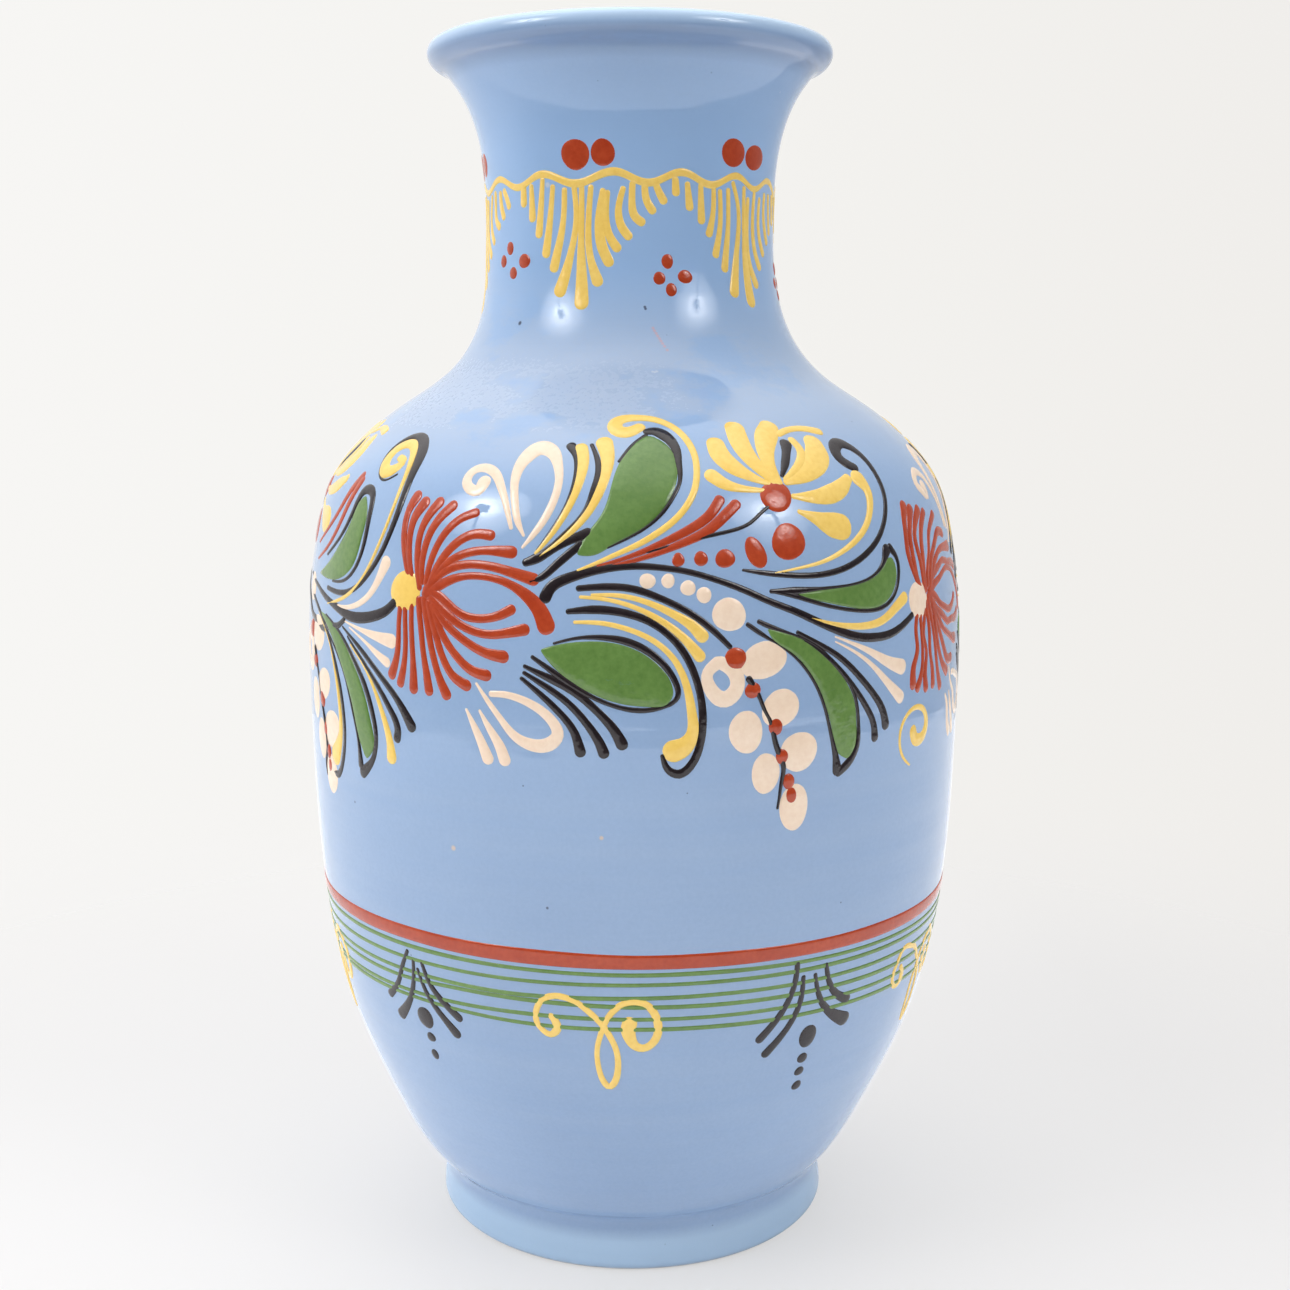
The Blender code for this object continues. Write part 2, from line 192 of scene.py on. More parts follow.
def vase_wall(glaze):
    """Bowl, belly, shoulder, neck and mouth, inside and out, with its floor."""
    low, high = (float(np.interp(end[1], OUTER[:, 1], RISE)) for end in (BOWL_END, MOUTH_END))
    radius, height, _, _ = wall_at(np.linspace(low, high, OUTER_RINGS))
    outside = [BOWL_END, *zip(radius[1:-1], height[1:-1]), MOUTH_END]
    inner = [(r - WALL_THICK * out, z - WALL_THICK * up)
             for r, z, out, up in zip(*wall_at(np.linspace(RISE[0] + 18, RISE[-1] - 6, INNER_RINGS)))]
    inner = [point for point in inner if point[1] > FLOOR_TOP + 5]
    fillet = [(inner[0][0] - inwards, FLOOR_TOP + above) for inwards, above in FLOOR_FILLET]
    base = [(radius, BOWL_UNDERSIDE) for radius in UNDERSIDE_RINGS]
    top = [(inner[-1][0] + 1, MOUTH_END[1])]
    section = base + outside + top + inner[::-1] + fillet + [(0, FLOOR_TOP - FLOOR_DIP)]
    nodes = ("lower_bowl", "belly", "shoulder", "neck", "mouth")
    turned("vase_wall", section, glaze, nodes, 40)


def vase_foot(glaze):
    """Foot ring: flared a little outside, rounded up into the bowl, bare clay where it stands."""
    outside = natural_spline(((60.3, 0.5), (61.3, 1.7), (61.4, 3.8), (61.1, 6.5), (60.6, 9.0), (60.35, 11.2),
                              (60.5, 13.2), (61.1, 15.2), (62.1, 16.9), BOWL_END), 4)
    inside = [(57.4, BOWL_UNDERSIDE), (50.6, BOWL_UNDERSIDE - 0.4), (50.0, 9), (50.1, 3), (50.8, 0.9),
              (52.4, 0.05), (54.0, 0.0), (58.4, 0.0), (59.6, 0.1)]
    turned("vase_foot", inside + [tuple(point) for point in outside], glaze, ("foot_ring",), 50)


def vase_rim(glaze):
    """Rolled rim, tucked in below and blended into the mouth inside and out."""
    outline = (MOUTH_END, (54.6, 350.1), (55.9, 351.1), (57.5, 351.7), (59.1, 352.9), (60.1, 354.7),
               (60.1, 356.4), (59.2, 358.0), (57.4, 358.9), (55.4, 358.8), (53.6, 357.8), (52.2, 356.0),
               (51.0, 353.4), (49.6, 350.3))
    roll = [tuple(point) for point in natural_spline(outline, 4)]
    turned("vase_rim", roll + [(LIP_INSIDE, MOUTH_END[1])], glaze, ("rim_roll",), 50)


# Slip: raised strokes, drops and leaves


ACROSS = np.array((-1, -0.95, -0.82, -0.55, 0, 0.55, 0.82, 0.95, 1))


def swell(t, crown, power=2.6):
    """Height of a slip section at t, 0 in the middle and 1 at the edge."""
    return (crown + ROOT) * np.sqrt(np.clip(1 - np.abs(t)**power, 0, 1)) - ROOT


class Slip:
    """Slip of one colour, gathered into one piece; place turns, lifts and stretches the drawing."""

    def __init__(self, place=(0.0, 0.0, 1.0), wobble=0.0, seed=0):
        self.points, self.faces, self.count = [], [], 0
        self.place, self.wobble, self.dice = place, wobble, random.Random(seed)

    def placed(self, points):
        turn, drop, stretch = self.place
        moved = []
        for azimuth, rise in points:
            jog = [self.dice.gauss(0, self.wobble) if self.wobble else 0 for _ in range(2)]
            moved.append((turn + azimuth * stretch + jog[0] / mm_per_degree(rise), rise + drop + jog[1]))
        return moved

    def thickened(self, width):
        if not self.wobble:
            return width
        return width * (1 + self.dice.uniform(-1, 1) * 0.12 * min(1, self.wobble / 0.4))

    def add(self, rings, ends=None):
        """Joins rings of equal length into a closed tube, with a point at each end or closed round."""
        first, size = self.count, len(rings[0])
        self.points += [p for ring in rings for p in ring]
        self.count += size * len(rings)
        pairs = list(range(len(rings) - 1)) + ([] if ends else [-1])
        for row in pairs:
            a, b = first + (row % len(rings)) * size, first + ((row + 1) % len(rings)) * size
            self.faces += [(a + k, a + (k + 1) % size, b + (k + 1) % size, b + k) for k in range(size)]
        for end, base in zip(ends or (), (first, first + size * (len(rings) - 1))):
            self.points.append(end)
            self.faces += [(base + k, base + (k + 1) % size, self.count) for k in range(size)]
            self.count += 1

    def stroke(self, route, widths, crown=CROWN):
        """One trailed stroke, as wide as widths say along the route, with rounded ends."""
        run, where = even_run(self.placed(route), STATION)
        widths = [self.thickened(w) for w in widths]
        at = where if len(widths) == len(route) else np.linspace(0, 1, len(widths))
        half = np.interp(np.linspace(0, 1, len(run)), at, widths) / 2
        soft = np.concatenate(([half[0]] * 2, half, [half[-1]] * 2))
        half = (soft[:-4] + 2 * soft[1:-3] + 3 * soft[2:-2] + 2 * soft[3:-1] + soft[4:]) / 9
        local = np.stack((mm_per_degree(run[:, 1]), np.ones(len(run))), axis=1)
        along = np.gradient(run, axis=0) * local
        along /= np.hypot(*along.T)[:, None]
        cap = np.radians((78, 60, 42, 26, 12))
        start = run[0] - along[0] * half[0] * np.sin(cap)[:, None] / local[0]
        end = run[-1] + along[-1] * half[-1] * np.sin(cap[::-1])[:, None] / local[-1]
        tips = (run[0] - along[0] * half[0] / local[0], run[-1] + along[-1] * half[-1] / local[-1])
        path = np.vstack((start, run, end))
        reach = np.concatenate((half[0] * np.cos(cap), half, half[-1] * np.cos(cap[::-1])))
        fall = np.concatenate((np.sin(cap), np.zeros(len(run)), np.sin(cap[::-1])))
        side = np.vstack(([along[0]] * 5, along, [along[-1]] * 5))[:, ::-1] * (-1, 1)
        crown = crown * (0.9 + 0.1 * self.dice.random())
        crowns = crown * np.minimum(1, 0.45 + reach / 1.6)
        rings = []
        for centre, across, width, drop, top in zip(path, side, reach, fall, crowns):
            scale = np.array((mm_per_degree(centre[1]), 1.0))
            spots = centre + across * (ACROSS * width)[:, None] / scale
            lift = swell(ACROSS, top) + ROOT
            lift = lift * math.sqrt(max(0.0, 1 - drop**2.6)) - ROOT
            rings.append(on_wall(spots[:, 0], spots[:, 1], lift))
        self.add(rings, [on_wall(*tip, -ROOT) for tip in tips])

    def blob(self, centre, width, height, tilt=0, crown=CROWN, egg=0.0, turns=26):
        """One drop of slip: an oval, turned by tilt degrees; egg above 0 narrows its upper end."""
        azimuth, rise = self.placed([centre])[0]
        width, height = self.thickened(width), self.thickened(height)
        a = np.linspace(0, 2 * math.pi, turns, endpoint=False)
        phase = self.dice.uniform(0, 6.28), self.dice.uniform(0, 6.28)
        rough = 1 + 0.022 * np.sin(2 * a + phase[0]) + 0.018 * np.sin(3 * a + phase[1])
        x = np.cos(a) * width / 2 * rough * (1 - egg * np.sin(a))
        y = np.sin(a) * height / 2 * rough
        turn = math.radians(tilt)
        x, y = x * math.cos(turn) - y * math.sin(turn), x * math.sin(turn) + y * math.cos(turn)
        top = crown * min(1, 0.5 + min(width, height) / 8)
        x = x / mm_per_degree(rise)
        rings = [on_wall(azimuth + f * x, rise + f * y, swell(f, top, 3.0) * np.ones(turns))
                 for f in (1, 0.96, 0.87, 0.7, 0.4)]
        ends = (on_wall(azimuth, rise, -ROOT), on_wall(azimuth, rise, top))
        self.add(rings, ends)

    def leaf(self, left, right, crown=0.28):
        """A filled leaf between two sides that meet at its ends."""
        left, right = self.placed(left), self.placed(right)
        if self.wobble:
            right[0], right[-1] = left[0], left[-1]
        runs = [even_run(side, STATION)[0] for side in (left, right)]
        count = max(len(run) for run in runs)
        share = np.linspace(0, 1, count)
        a, b = (np.stack([np.interp(share, np.linspace(0, 1, len(run)), column) for column in run.T], axis=1)
                for run in runs)
        rings = []
        for one, other in zip(a[1:-1], b[1:-1]):
            t = ACROSS[:, None] / 2
            spots = one * (0.5 - t) + other * (0.5 + t)
            wide = math.hypot((other[0] - one[0]) * mm_per_degree(one[1]), other[1] - one[1])
            lift = (swell(ACROSS, crown, 7) + ROOT) * min(1, wide / 2.5)**0.5 - ROOT
            rings.append(on_wall(spots[:, 0], spots[:, 1], lift))
        ends = [on_wall(*((one + other) / 2), -ROOT) for one, other in ((a[0], b[0]), (a[-1], b[-1]))]
        self.add(rings, ends)

    def hoop(self, middle, width, crown=CROWN, steps=360):
        """A line right round the vase; middle and width are functions of azimuth."""
        rings = []
        for azimuth in np.linspace(-180, 180, steps, endpoint=False):
            rises = middle(azimuth) + ACROSS * width(azimuth) / 2
            rings.append(on_wall(np.full(len(ACROSS), azimuth), rises, swell(ACROSS, crown, 4)))
        self.add(rings)

    def build(self, name, looks, colour, *nodes):
        make_piece(name, self.points, self.faces, looks[colour], nodes)


def round_table(*rows):
    """A smooth function of azimuth through (azimuth, value) rows, which joins up behind."""
    rows = sorted(rows)
    azimuths = np.array([a for a, _ in rows])
    values = np.array([v for _, v in rows])
    fine = np.arange(-180, 180, 2.0)
    line = np.interp(fine, azimuths, values, period=360)
    kernel = np.array((1, 2, 3, 2, 1)) / 9
    line = np.convolve(np.concatenate((line[-2:], line, line[:2])), kernel, mode="valid")
    return lambda azimuth: float(np.interp(azimuth, fine, line, period=360))


# The drawings are written as text, in (azimuth, rise). A comma parts places and a semicolon parts routes. In
# strokes a bar comes before the widths along the route. A drop has azimuth, rise, width, height and, if it is
# turned, its tilt.


def read_numbers(text):
    return tuple(float(word) for word in text.split())


def read_rows(text):
    return tuple(read_numbers(row) for row in text.split(","))


def routes(text):
    return tuple(read_rows(route) for route in text.split(";"))


def strokes(text):
    return tuple((read_rows(route), read_numbers(widths))
                 for route, widths in (one.split("|") for one in text.split(";")))


def stroke(text):
    return strokes(text)[0]


def drops(text):
    return tuple(((azimuth, rise), *rest) for azimuth, rise, *rest in read_rows(text))


# The frieze, drawn once for its first unit

FRIEZE_PLACES = ((0, 0, 1), (88.2, -4.3, 0.92), (172.3, -1, 0.92), (257.5, -2, 0.95))  # turn, rise, stretch

RUST_PETALS = strokes("""
    -39 226.4, -40 222.5, -40.2 218, -39.9 214, -39 209, -37.8 204.5, -36.5 202 | 4 2.6 2.6 2.4 2 1.8;
    -36.8 224.8, -38.2 221, -38.7 216, -38.4 211, -37.6 206, -36.5 202 | 4 2.6 2.4 2.2;
    -33.7 225.1, -35.3 221.5, -36.4 217, -36.6 212, -36.2 207, -35.5 202 | 3.6 2.6 2.4 2.2;
    -30.8 224.4, -32.6 221.5, -34.2 217.5, -35.1 213, -35.4 208, -35.2 203.5 | 3.4 2.8 2.5 2.2;
    -26.2 222.8, -28.6 221.2, -31 217.8, -32.8 213, -33.8 208, -34.3 203.5 | 2.8 2.6 2.5 2.4 2;
    -23 217, -25.8 217.1, -28.6 215, -30.8 211.5, -32.5 207, -33.5 203 | 3.2 2.8 2.8 2.6 2.4;
    -19.2 212.8, -22.5 213, -26.5 212.2, -30 209.5, -32.5 205.5, -33.8 202 | 3.8 2.6 2.6 2.6 2.6;
    -15.4 206, -18 207.2, -21.5 208.6, -25.5 209.2, -29 208.2, -32 205.5, -33.8 202 | 3.8 3 2.6 2.6 3 3;
    -13.2 194.2, -14.2 198, -16.4 201.8, -19.8 204.9, -24.2 206.2, -28.5 205.3, -31.5 203, -34 200.5 |
      5.4 4.2 2.6 2.2 2.2 3 3.4;
    -18.8 197.9, -20.8 196.2, -23.5 195.2, -26.5 195.6, -29.3 198, -31.8 200.5, -34 201.5 |
      3.2 2.6 2.6 2.6 3 3;
    -16.6 192.9, -19.2 191.9, -22.2 191.2, -25.2 191.9, -28 193.8, -30.6 196.5, -33 199.5 |
      3.6 2.8 2.6 2.6 3 3;
    -19.9 185.6, -22.5 186.2, -25 187.8, -27.7 190.4, -30.2 193.5, -32.5 197.5 | 3.8 2.8 2.6 2.6 2.8;
    -22.7 180.4, -25 181.3, -27.3 184, -29.4 187.7, -31.3 192.5, -32.8 197.5 | 3.6 2.8 2.6 2.6 2.8;
    -26.1 177.3, -28.1 179, -30 183, -31.3 188, -32.5 193.5, -33.5 198 | 3.6 2.6 2.5 2.5 2.6;
    -29.7 174.3, -30.9 178.3, -32.1 184, -33 189.5, -33.8 195, -34.4 199 | 3.6 2.5 2.4 2.4 2.6;
    -33 174.8, -33.4 179, -34.1 185, -34.6 190.5, -35.2 196, -35.5 199 | 3.4 2.2 2.2 2.2;
    -36.1 174.8, -36.1 179, -36.3 185, -36.6 190.5, -36.8 196, -36.8 199 | 3.6 2.2 2 2;
    -38.9 175.8, -38.2 180, -37.8 186, -38 192, -38.2 196 | 3.2 2.2 2 2;
    -40.8 177.8, -39.9 181.5, -39.4 186.5, -39.4 192, -39.3 196 | 3.6 2.4 2 2
""")
RUST_BUDS = strokes("""
    -5.5 209.8, -2 211.5, 2 214, 6 217, 9.5 220, 12 223, 13.8 226.8 | 0.8 1.2 1.8 2.4 2.8 3 3.2;
    -5.8 209.2, -1 210.8, 4 213.4, 8 216, 11.5 218.8, 14 222, 16.4 225.5 | 0.6 1.2 1.8 2.4 3 3.2 3.2
""")
RUST_DROPS = drops("""
    6.7 211.4 3.5 3.8 0, 10.2 211.6 3.8 4.2 0, 14 211.5 5.6 5.2 0, 19 212.8 5.5 9.5 25, 24.8 215.3 10.3
      10.5 0
""")
BERRY_DROPS = drops("""
    15.2 185.5 6.4 6 0, 17.9 177 4.7 4.4 0, 21.7 167 4.2 5.2 0, 22.9 158.7 3.9 4.5 0, 24.1 151.7 3.6 4.6 0,
      24.6 147.7 3.8 5 0
""")
CREAM_CLUSTER = drops("""
    14.3 197 9.7 9.3 0, 19.7 184.7 14 10.5 12, 22.5 171.7 12 10.5 20, 16.9 166 10 12.2 0,
      25.8 159.5 12 11.5 35, 20.2 154.5 8.8 11.5 0, 25.1 144.5 9.4 13.5 0
""")
CREAM_RING = stroke("""
    12.4 184.6, 10.9 182, 11.3 178, 13.5 175, 15.4 178, 14.8 182.5, 12.9 184.6 | 3.8 3.2 4 5 4.5 4.5 3.8
""")
CREAM_DROPS = drops("2 206 4.3 4.2 0, 5.1 206 3.6 4 0, 8.1 204.1 4.1 4.2 0, 10.5 202.2 4.2 4.3 0")
CREAM_STROKES = strokes("""
    -26 231.5, -26.8 229, -28.6 229.8, -29.5 232, -28.8 235, -26.8 236, -24.5 234.5, -22.6 230.5,
      -21.3 226.5, -20.2 222, -19.6 219.2 | 4.5 3.4 3.2 3 3.2 3 2.6 2.2 1.8 1.2;
    -17.4 217.3, -18.6 221, -19.5 226, -20.2 231, -20.3 235.5, -19.4 240, -17.3 243.2, -15 242, -13.4 238,
      -12.6 233, -12.8 228, -13.8 223, -15.6 218, -17.4 214.2 |
      0.8 2.2 2.4 2.6 3.4 5 6 4.6 3 2.4 2.4 2.4 2 0.8;
    -24.3 178, -22.5 173.8, -20.2 168.8, -18 164.7, -15.3 162.7, -12.7 163.2, -11.4 165.8, -12.3 169.5,
      -14.7 172.9, -17.6 175, -20 175.7, -21.8 175.6 | 0.8 1.6 2 2.8 3.8 4.2 3.6 3 2.6 2.2 2 1.8;
    -26.1 170.8, -24.8 166.5, -23.4 161.5, -22.6 158.2 | 0.8 2.2 3.2 3.8;
    -23.8 170.8, -22.3 166.5, -20.5 161.5, -19.8 158.2 | 0.8 2.2 3.4 3.8
""")
CREAM_PAIR = strokes("""
    32.3 189.3, 36 186.8, 40 183.7, 44 180.3, 47.2 178.4 | 0.6 1.2 2.2 3.6 5;
    32.3 188, 36 184.8, 40 180.2, 43.5 175, 47 170 | 0.5 1 1.6 2.6 4.2
""")
YELLOW_PETALS = strokes("""
    22.5 229.2, 18 230, 15 231.6, 13.2 234 | 1.2 2.4 4 4.6;
    23 231.2, 20 233.6, 17.2 237, 15.5 241.3, 15.3 244.6 | 1.5 3.5 6 6.5 5.5;
    24 231.5, 22 236.5, 20.6 241.5, 20.2 246, 20.4 250.5 | 2 4.5 6 6.6 6.2;
    24.8 231.5, 24.3 237, 24.8 242.5, 26.5 247.5, 28.2 250.8 | 3 4 6 7.6 6;
    29.5 248, 31.5 249.2, 34.5 250, 37.5 249.6, 40 248.6 | 2.5 2.4 2.5 3 3.4;
    26.5 232.5, 28.5 234.5, 31 238, 32.3 242, 31.8 245.5 | 1.5 2.6 3 3 2.8;
    26.5 231.5, 30 233.2, 33.5 236.5, 35.8 240.5, 36.5 244.2 | 2 5 8 8.5 6.5;
    27 227.3, 30.5 226.9, 34.5 227.4, 37.5 229.2, 39.8 231.7 | 1.5 4 6.2 5.6 3.2;
    27.5 223, 30.5 221, 33.5 219, 35.3 218.3 | 1.2 4 8 8
""")
YELLOW_NEAR_UPPER_LEAF = strokes("""
    -15.2 212.8, -13 217.5, -11.2 222.5, -9.8 228, -9 234, -9.1 240, -9.7 243.2 | 1 1.6 2 2.4 3 3.8 4;
    -15.4 211, -12.5 214.5, -9.8 218.5, -7.4 223.5, -5.8 229, -4.8 235, -4.7 240.5, -5.5 245.2 |
      0.8 1.4 1.8 2.4 3 3.2 4 5;
    1 251.2, -0.5 249.8, -2 249.3, -3.6 250.6, -3.7 253, -2 254.8, 0.5 255.2, 3 254.9, 6 253.2, 8.5 250,
      10 246, 10.8 241, 10.7 235.5, 9.9 230, 8.4 225.5, 6.2 221.5, 3.5 218.2, 0.5 215.3, -2.5 213,
      -5.5 210.7, -8.5 208.6 | 3.5 4.8 4.5 3.6 2.8 2.6 2.4 2.2 2.2 2 1.9 1.9 1.9 1.9 1.9 1.8 1.6 1.4 1.2
      0.8
""")
YELLOW_SCROLLS = strokes("""
    -6.3 202.4, -2 202.2, 2 200.5, 6 197.3, 9 193.8, 10.1 191.7 | 0.8 1.4 1.6 2.2 3.2 3.8;
    -8 201.8, -4 201.2, 0 199.3, 4 195.8, 7.5 191, 9.7 186.5 | 1 1.2 1.4 1.8 2.4 3.4;
    -8.8 195.3, -5 195.2, -1 193.7, 3 190.5, 6 185.5, 7.8 178.5, 8.6 171, 8.6 166, 7 162.5, 5.9 161.8 | 1
      1.4 1.5 1.6 1.8 2.2 2.8 3.6 6 6.5
""")
YELLOW_RIGHT_END = strokes("""
    22 207.2, 27 208.3, 31 209.5, 35 211.8, 38.5 214.8, 41.3 218.8, 43 223.5, 43.5 228, 42.5 231.5 |
      0.5 0.9 1.2 1.6 2 2.3 2.6 3.4 6;
    27 195.4, 31 193.2, 35 191.8, 39 191.3, 43 192.4, 46 195, 48.5 197.2 | 0.6 1.2 1.8 2.2 2.6 3.2 3.8
""")
FLOWER_SCROLL = stroke("""
    50.5 149.7, 48.5 152.5, 47.4 156.5, 47.8 161.5, 50 165, 53 165.6, 55.3 163, 55.6 158.8, 53.8 156.2,
      51.8 157, 51.3 159 | 0.8 1.2 1.3 1.4 1.6 1.9 2.3 3.2 4 4.4 4
""")
BLACK_VINES = strokes("""
    -13.4 201.5, -12.7 203.8, -10.5 206.2, -8 207.7, -4.5 209.1, 0 209.8, 4 209.4, 8 208.3, 12 206.3,
      17 203, 21 199.8, 25 197, 29 193.8, 33 190.8, 37 188.6, 41 187.8, 45 188.3, 48 190, 50.5 192 |
      3.6 3 2.4 2 1.8 1.8 2 2 2.2 2.4 2.6 2.8 2.6 2.2;
    -14.9 213.5, -12.9 218.5, -11 224.5, -10 230.5, -9.9 236, -10.4 240.5, -11.6 244 |
      1.2 1.5 1.5 1.5 1.3 1.6 3.2;
    -15 212.2, -13 214.8, -11 218, -9.2 221, -7.6 224.5, -6.6 229.5, -6.1 233, -6.1 237, -6.8 241,
      -7.8 244.5 | 0.9 0.9 0.9 1 1.6 2.2 2.3 1.9 1.5 1.2;
    -16.7 210.3, -15.2 211.3, -12.5 213.9, -10 216.2, -7.2 218.2 | 2.2 3.2 2.2 2.4 3.2;
    -15.8 205.5, -14.3 206.4, -12.5 208.9, -10.5 212, -8.3 215.2 | 1.5 2.2 2.4 2.6 2.4;
    1 213.2, 6 215, 10 216.8, 15 218.5, 18.5 220.5, 20.5 223, 22 224.7 | 0.9 1.2 1.1;
    26 233.5, 27.5 237.2, 29 241.5, 29.8 244.2 | 1.2 2.8 2.8 4.2;
    -8.3 204, -4 204.5, 0 203.9, 4 201.5, 8 198, 11.5 193.5, 14.3 188.7 | 1.8 2.2 2.2 2 2 2 1.6;
    -9.8 198, -6 198.6, -2 198, 2 195.8, 5.5 191.5, 8 185.5, 9.6 178, 10.2 170, 9.7 162.5, 8.3 157.5,
      6.6 155.6, 5 157, 4.2 160.5 | 1.6 2.6 2.4 2.2 2.2 2.2 2.2 2.4 2.4 2.6 2.8 2.2 1.2;
    -16.4 183.4, -12.5 180.5, -8.5 176.8, -5 171.5, -2.8 167, -1.8 163.7 | 1.2 2.4 2.4 2.4 3 3.6;
    -16.5 181.7, -12.8 178, -9.5 173.8, -6.8 168.5, -5 163.5, -4.5 161.3 | 1.2 2 2.2 2.4 3 3.4;
    -16.9 180.2, -13.8 176, -11 171.5, -9 167, -8.2 163, -8 161.5 | 1.2 1.9 2.2 2.4 3 3.4
""")
BLACK_BERRY_STALK = stroke("""
    17.3 180, 19 175, 20 171, 20.8 168.5, 21.5 164, 22.2 160.3, 23.2 155.5, 22.9 152, 22.6 148,
      22.3 144.7 | 2 1.2 1.2 1.4 1.6 1.8 1.6 1.2 1 0.8
""")
BLACK_RIGHT_END = strokes("""
    16.8 208.3, 20 207.4, 24 206.5, 28 206, 32 206.3, 36 207.7, 40 210.5, 43.5 214.5, 46 219.5, 47.5 225,
      47.9 233, 47.3 238, 45.6 242, 43.2 243.8, 41 242, 40.5 238.8, 41.8 236.2, 43 235.2 |
      0.8 1.6 1.7 1.8 1.9 2 2.1 2 2 2 2.2 2.6 3.6 4.6 4.4 4 4.2 3.2;
    25.4 191.4, 29 188, 33 183.8, 37 178, 40.5 172, 42.8 166.5, 43.4 163.2 | 1.2 1.6 2 2.2 2.4 3 3.6;
    26.6 189, 30 185, 33.3 180, 36.5 174, 39 168.5, 40.6 163.5, 40.9 160.3 | 1 1.8 1.8 2 2.2 2.6 3.2
""")

# Leaves: two sides, then the black outlines drawn over them
UPPER_LEAF = routes("""
    -8.8 212.5, -8.2 215.5, -7 219, -5.4 222.8, -4.5 226.5, -4 230.5, -3.5 234.5, -2.8 238.2, -1.7 242,
      0.3 245.8, 2.8 248;
    -8.8 212.5, -6.2 212.4, -3 215.3, 0 218, 3 221.5, 5.4 226, 7.2 232, 7.6 237, 6.9 242.5, 5 246.2, 2.8
      248
""")
UPPER_LEAF_LINES = strokes("""
    -4 214.5, 0 217.8, 3 221.2, 4.8 224.3, 6.5 228.5, 7.6 232.5, 7.75 238.5, 7.7 242, 7 245.5, 5.6 248.3,
      3.6 249.7, 2.6 249.5 | 0.6 0.8 1 1.2 1.2 1.2 2 2.6 3.4 4.2 3.6 2.4;
    -2.6 238.8, -1.4 242, 0.2 245.3, 2.2 248 | 1 1.2 1.4
""")
LOWER_LEAF = routes("""
    -14.1 188, -11.8 189.3, -8.5 190.4, -5 190.7, -1.5 189.8, 1.8 187.2, 4.2 183.6, 5.6 179.6, 5.7 176,
      4.6 173.7;
    -14.1 188, -13 185.3, -11 181.8, -8.5 178.7, -5.8 176.2, -3 174.5, 0 173.6, 2.2 173.4, 3.6 173.4, 4.6
      173.7
""")
LOWER_LEAF_LINES = strokes("""
    -11.9 189.7, -8.5 191.2, -5 191.5, -1.5 190.7, 1.8 188.2, 4.4 184.4, 6.1 179.8, 6.4 176, 5.3 174.1 |
      0.8 1 1.6 2.2 2.2 2 1.8 1.6 1.2;
    -15.2 185.9, -12.5 182.8, -9.5 179.3, -6.5 176.3, -3 173.8, 0 172.7, 3 172.9, 5.3 174 | 1.2 1.8 1.8 1.4
      1.3 1.6 1.4 1
""")
SIDE_LEAF = routes("""
    25.2 201.4, 29 201.9, 34 202.3, 38.5 203, 41.8 204.6, 43.9 207, 45.2 208.8, 46.3 208.7;
    25.2 201.4, 28 199.8, 32 198, 36 196.4, 40 195.6, 43.5 196.6, 46 200, 47.1 204.5, 46.3 208.7
""")
SIDE_LEAF_LINES = strokes("""
    21.2 202.5, 25 202.3, 30 202.4, 35 202.6, 39 203.4, 42 205.2, 44 208, 45 210.8 |
      1.2 2.4 1 0.8 0.9 1.1 1.8 4.2;
    46 211.5, 47.6 208, 47.5 203.5, 46 198.8, 43.5 196, 40 195.2, 36 195.9, 32 197.3, 28 199.3, 24.5 201.3,
      21.5 202.5 | 2.6 1.6 1.5 1.5 1.4 1.3 1.2 1.2 1.3 1.6 1.2
""")
LONG_LEAF = routes("""
    20.2 193, 21.5 189.2, 24.5 185.8, 27.2 180.8, 29.3 175, 30.8 169, 31.8 163, 32.8 158, 35 155.6;
    20.2 193, 25 190.5, 28.3 187.3, 31.5 182.8, 34.3 177.3, 36.2 171.5, 36.8 164.5, 36.5 158.5, 35 155.6
""")
LONG_LEAF_LINES = strokes("""
    19 194.8, 21 193.2, 25 190.6, 28.5 187.6, 31.5 183.2, 34.4 177.8, 36.4 171.8, 37.1 165, 36.9 158.5,
      35 154.2, 33.3 152.3 | 1.4 1.6 0.8 1 1.2 1.1 1.3 1.4 2 3 2.6;
    17.2 194.2, 19 192, 21.5 189.2, 24.5 185.5, 27 181, 29.2 175, 30.6 169, 31.7 162.5, 32.6 157, 33 153 |
      1.4 1.5 0.7 0.8 1 1.1 1.1 1.3 2.2 3.6
""")

# The end of the fourth unit, where the painter closed the frieze more tightly; drawn in its own place
CLOSING_YELLOW = strokes("""
    -61.5 193.2, -57 195, -53 197.8, -49.5 202.5, -46.8 209.5, -44.8 217.5, -43.8 225.5, -44 233,
      -45.3 239, -47.5 242.8, -50 242.9, -52 240.3, -52.3 236.5, -50.8 233.3, -48.5 233.8, -47 236.6,
      -48.6 238 | 0.5 1.2 1.3 1.3 1.3 1.3 1.4 1.8 2.6 3.6 4 4 4.2 4.6 4.4 3.2 2.4;
    -52 183.5, -48 178.5, -45 172, -43 165, -41.7 158, -41.5 154.5 | 0.5 0.8 1.4 2.2 3.2 4.4;
    -66 190, -60 182.5, -57.5 174, -56.3 165, -56.4 157, -58.8 150 | 0.6 1 1.4 1.8 2.6 7
""")
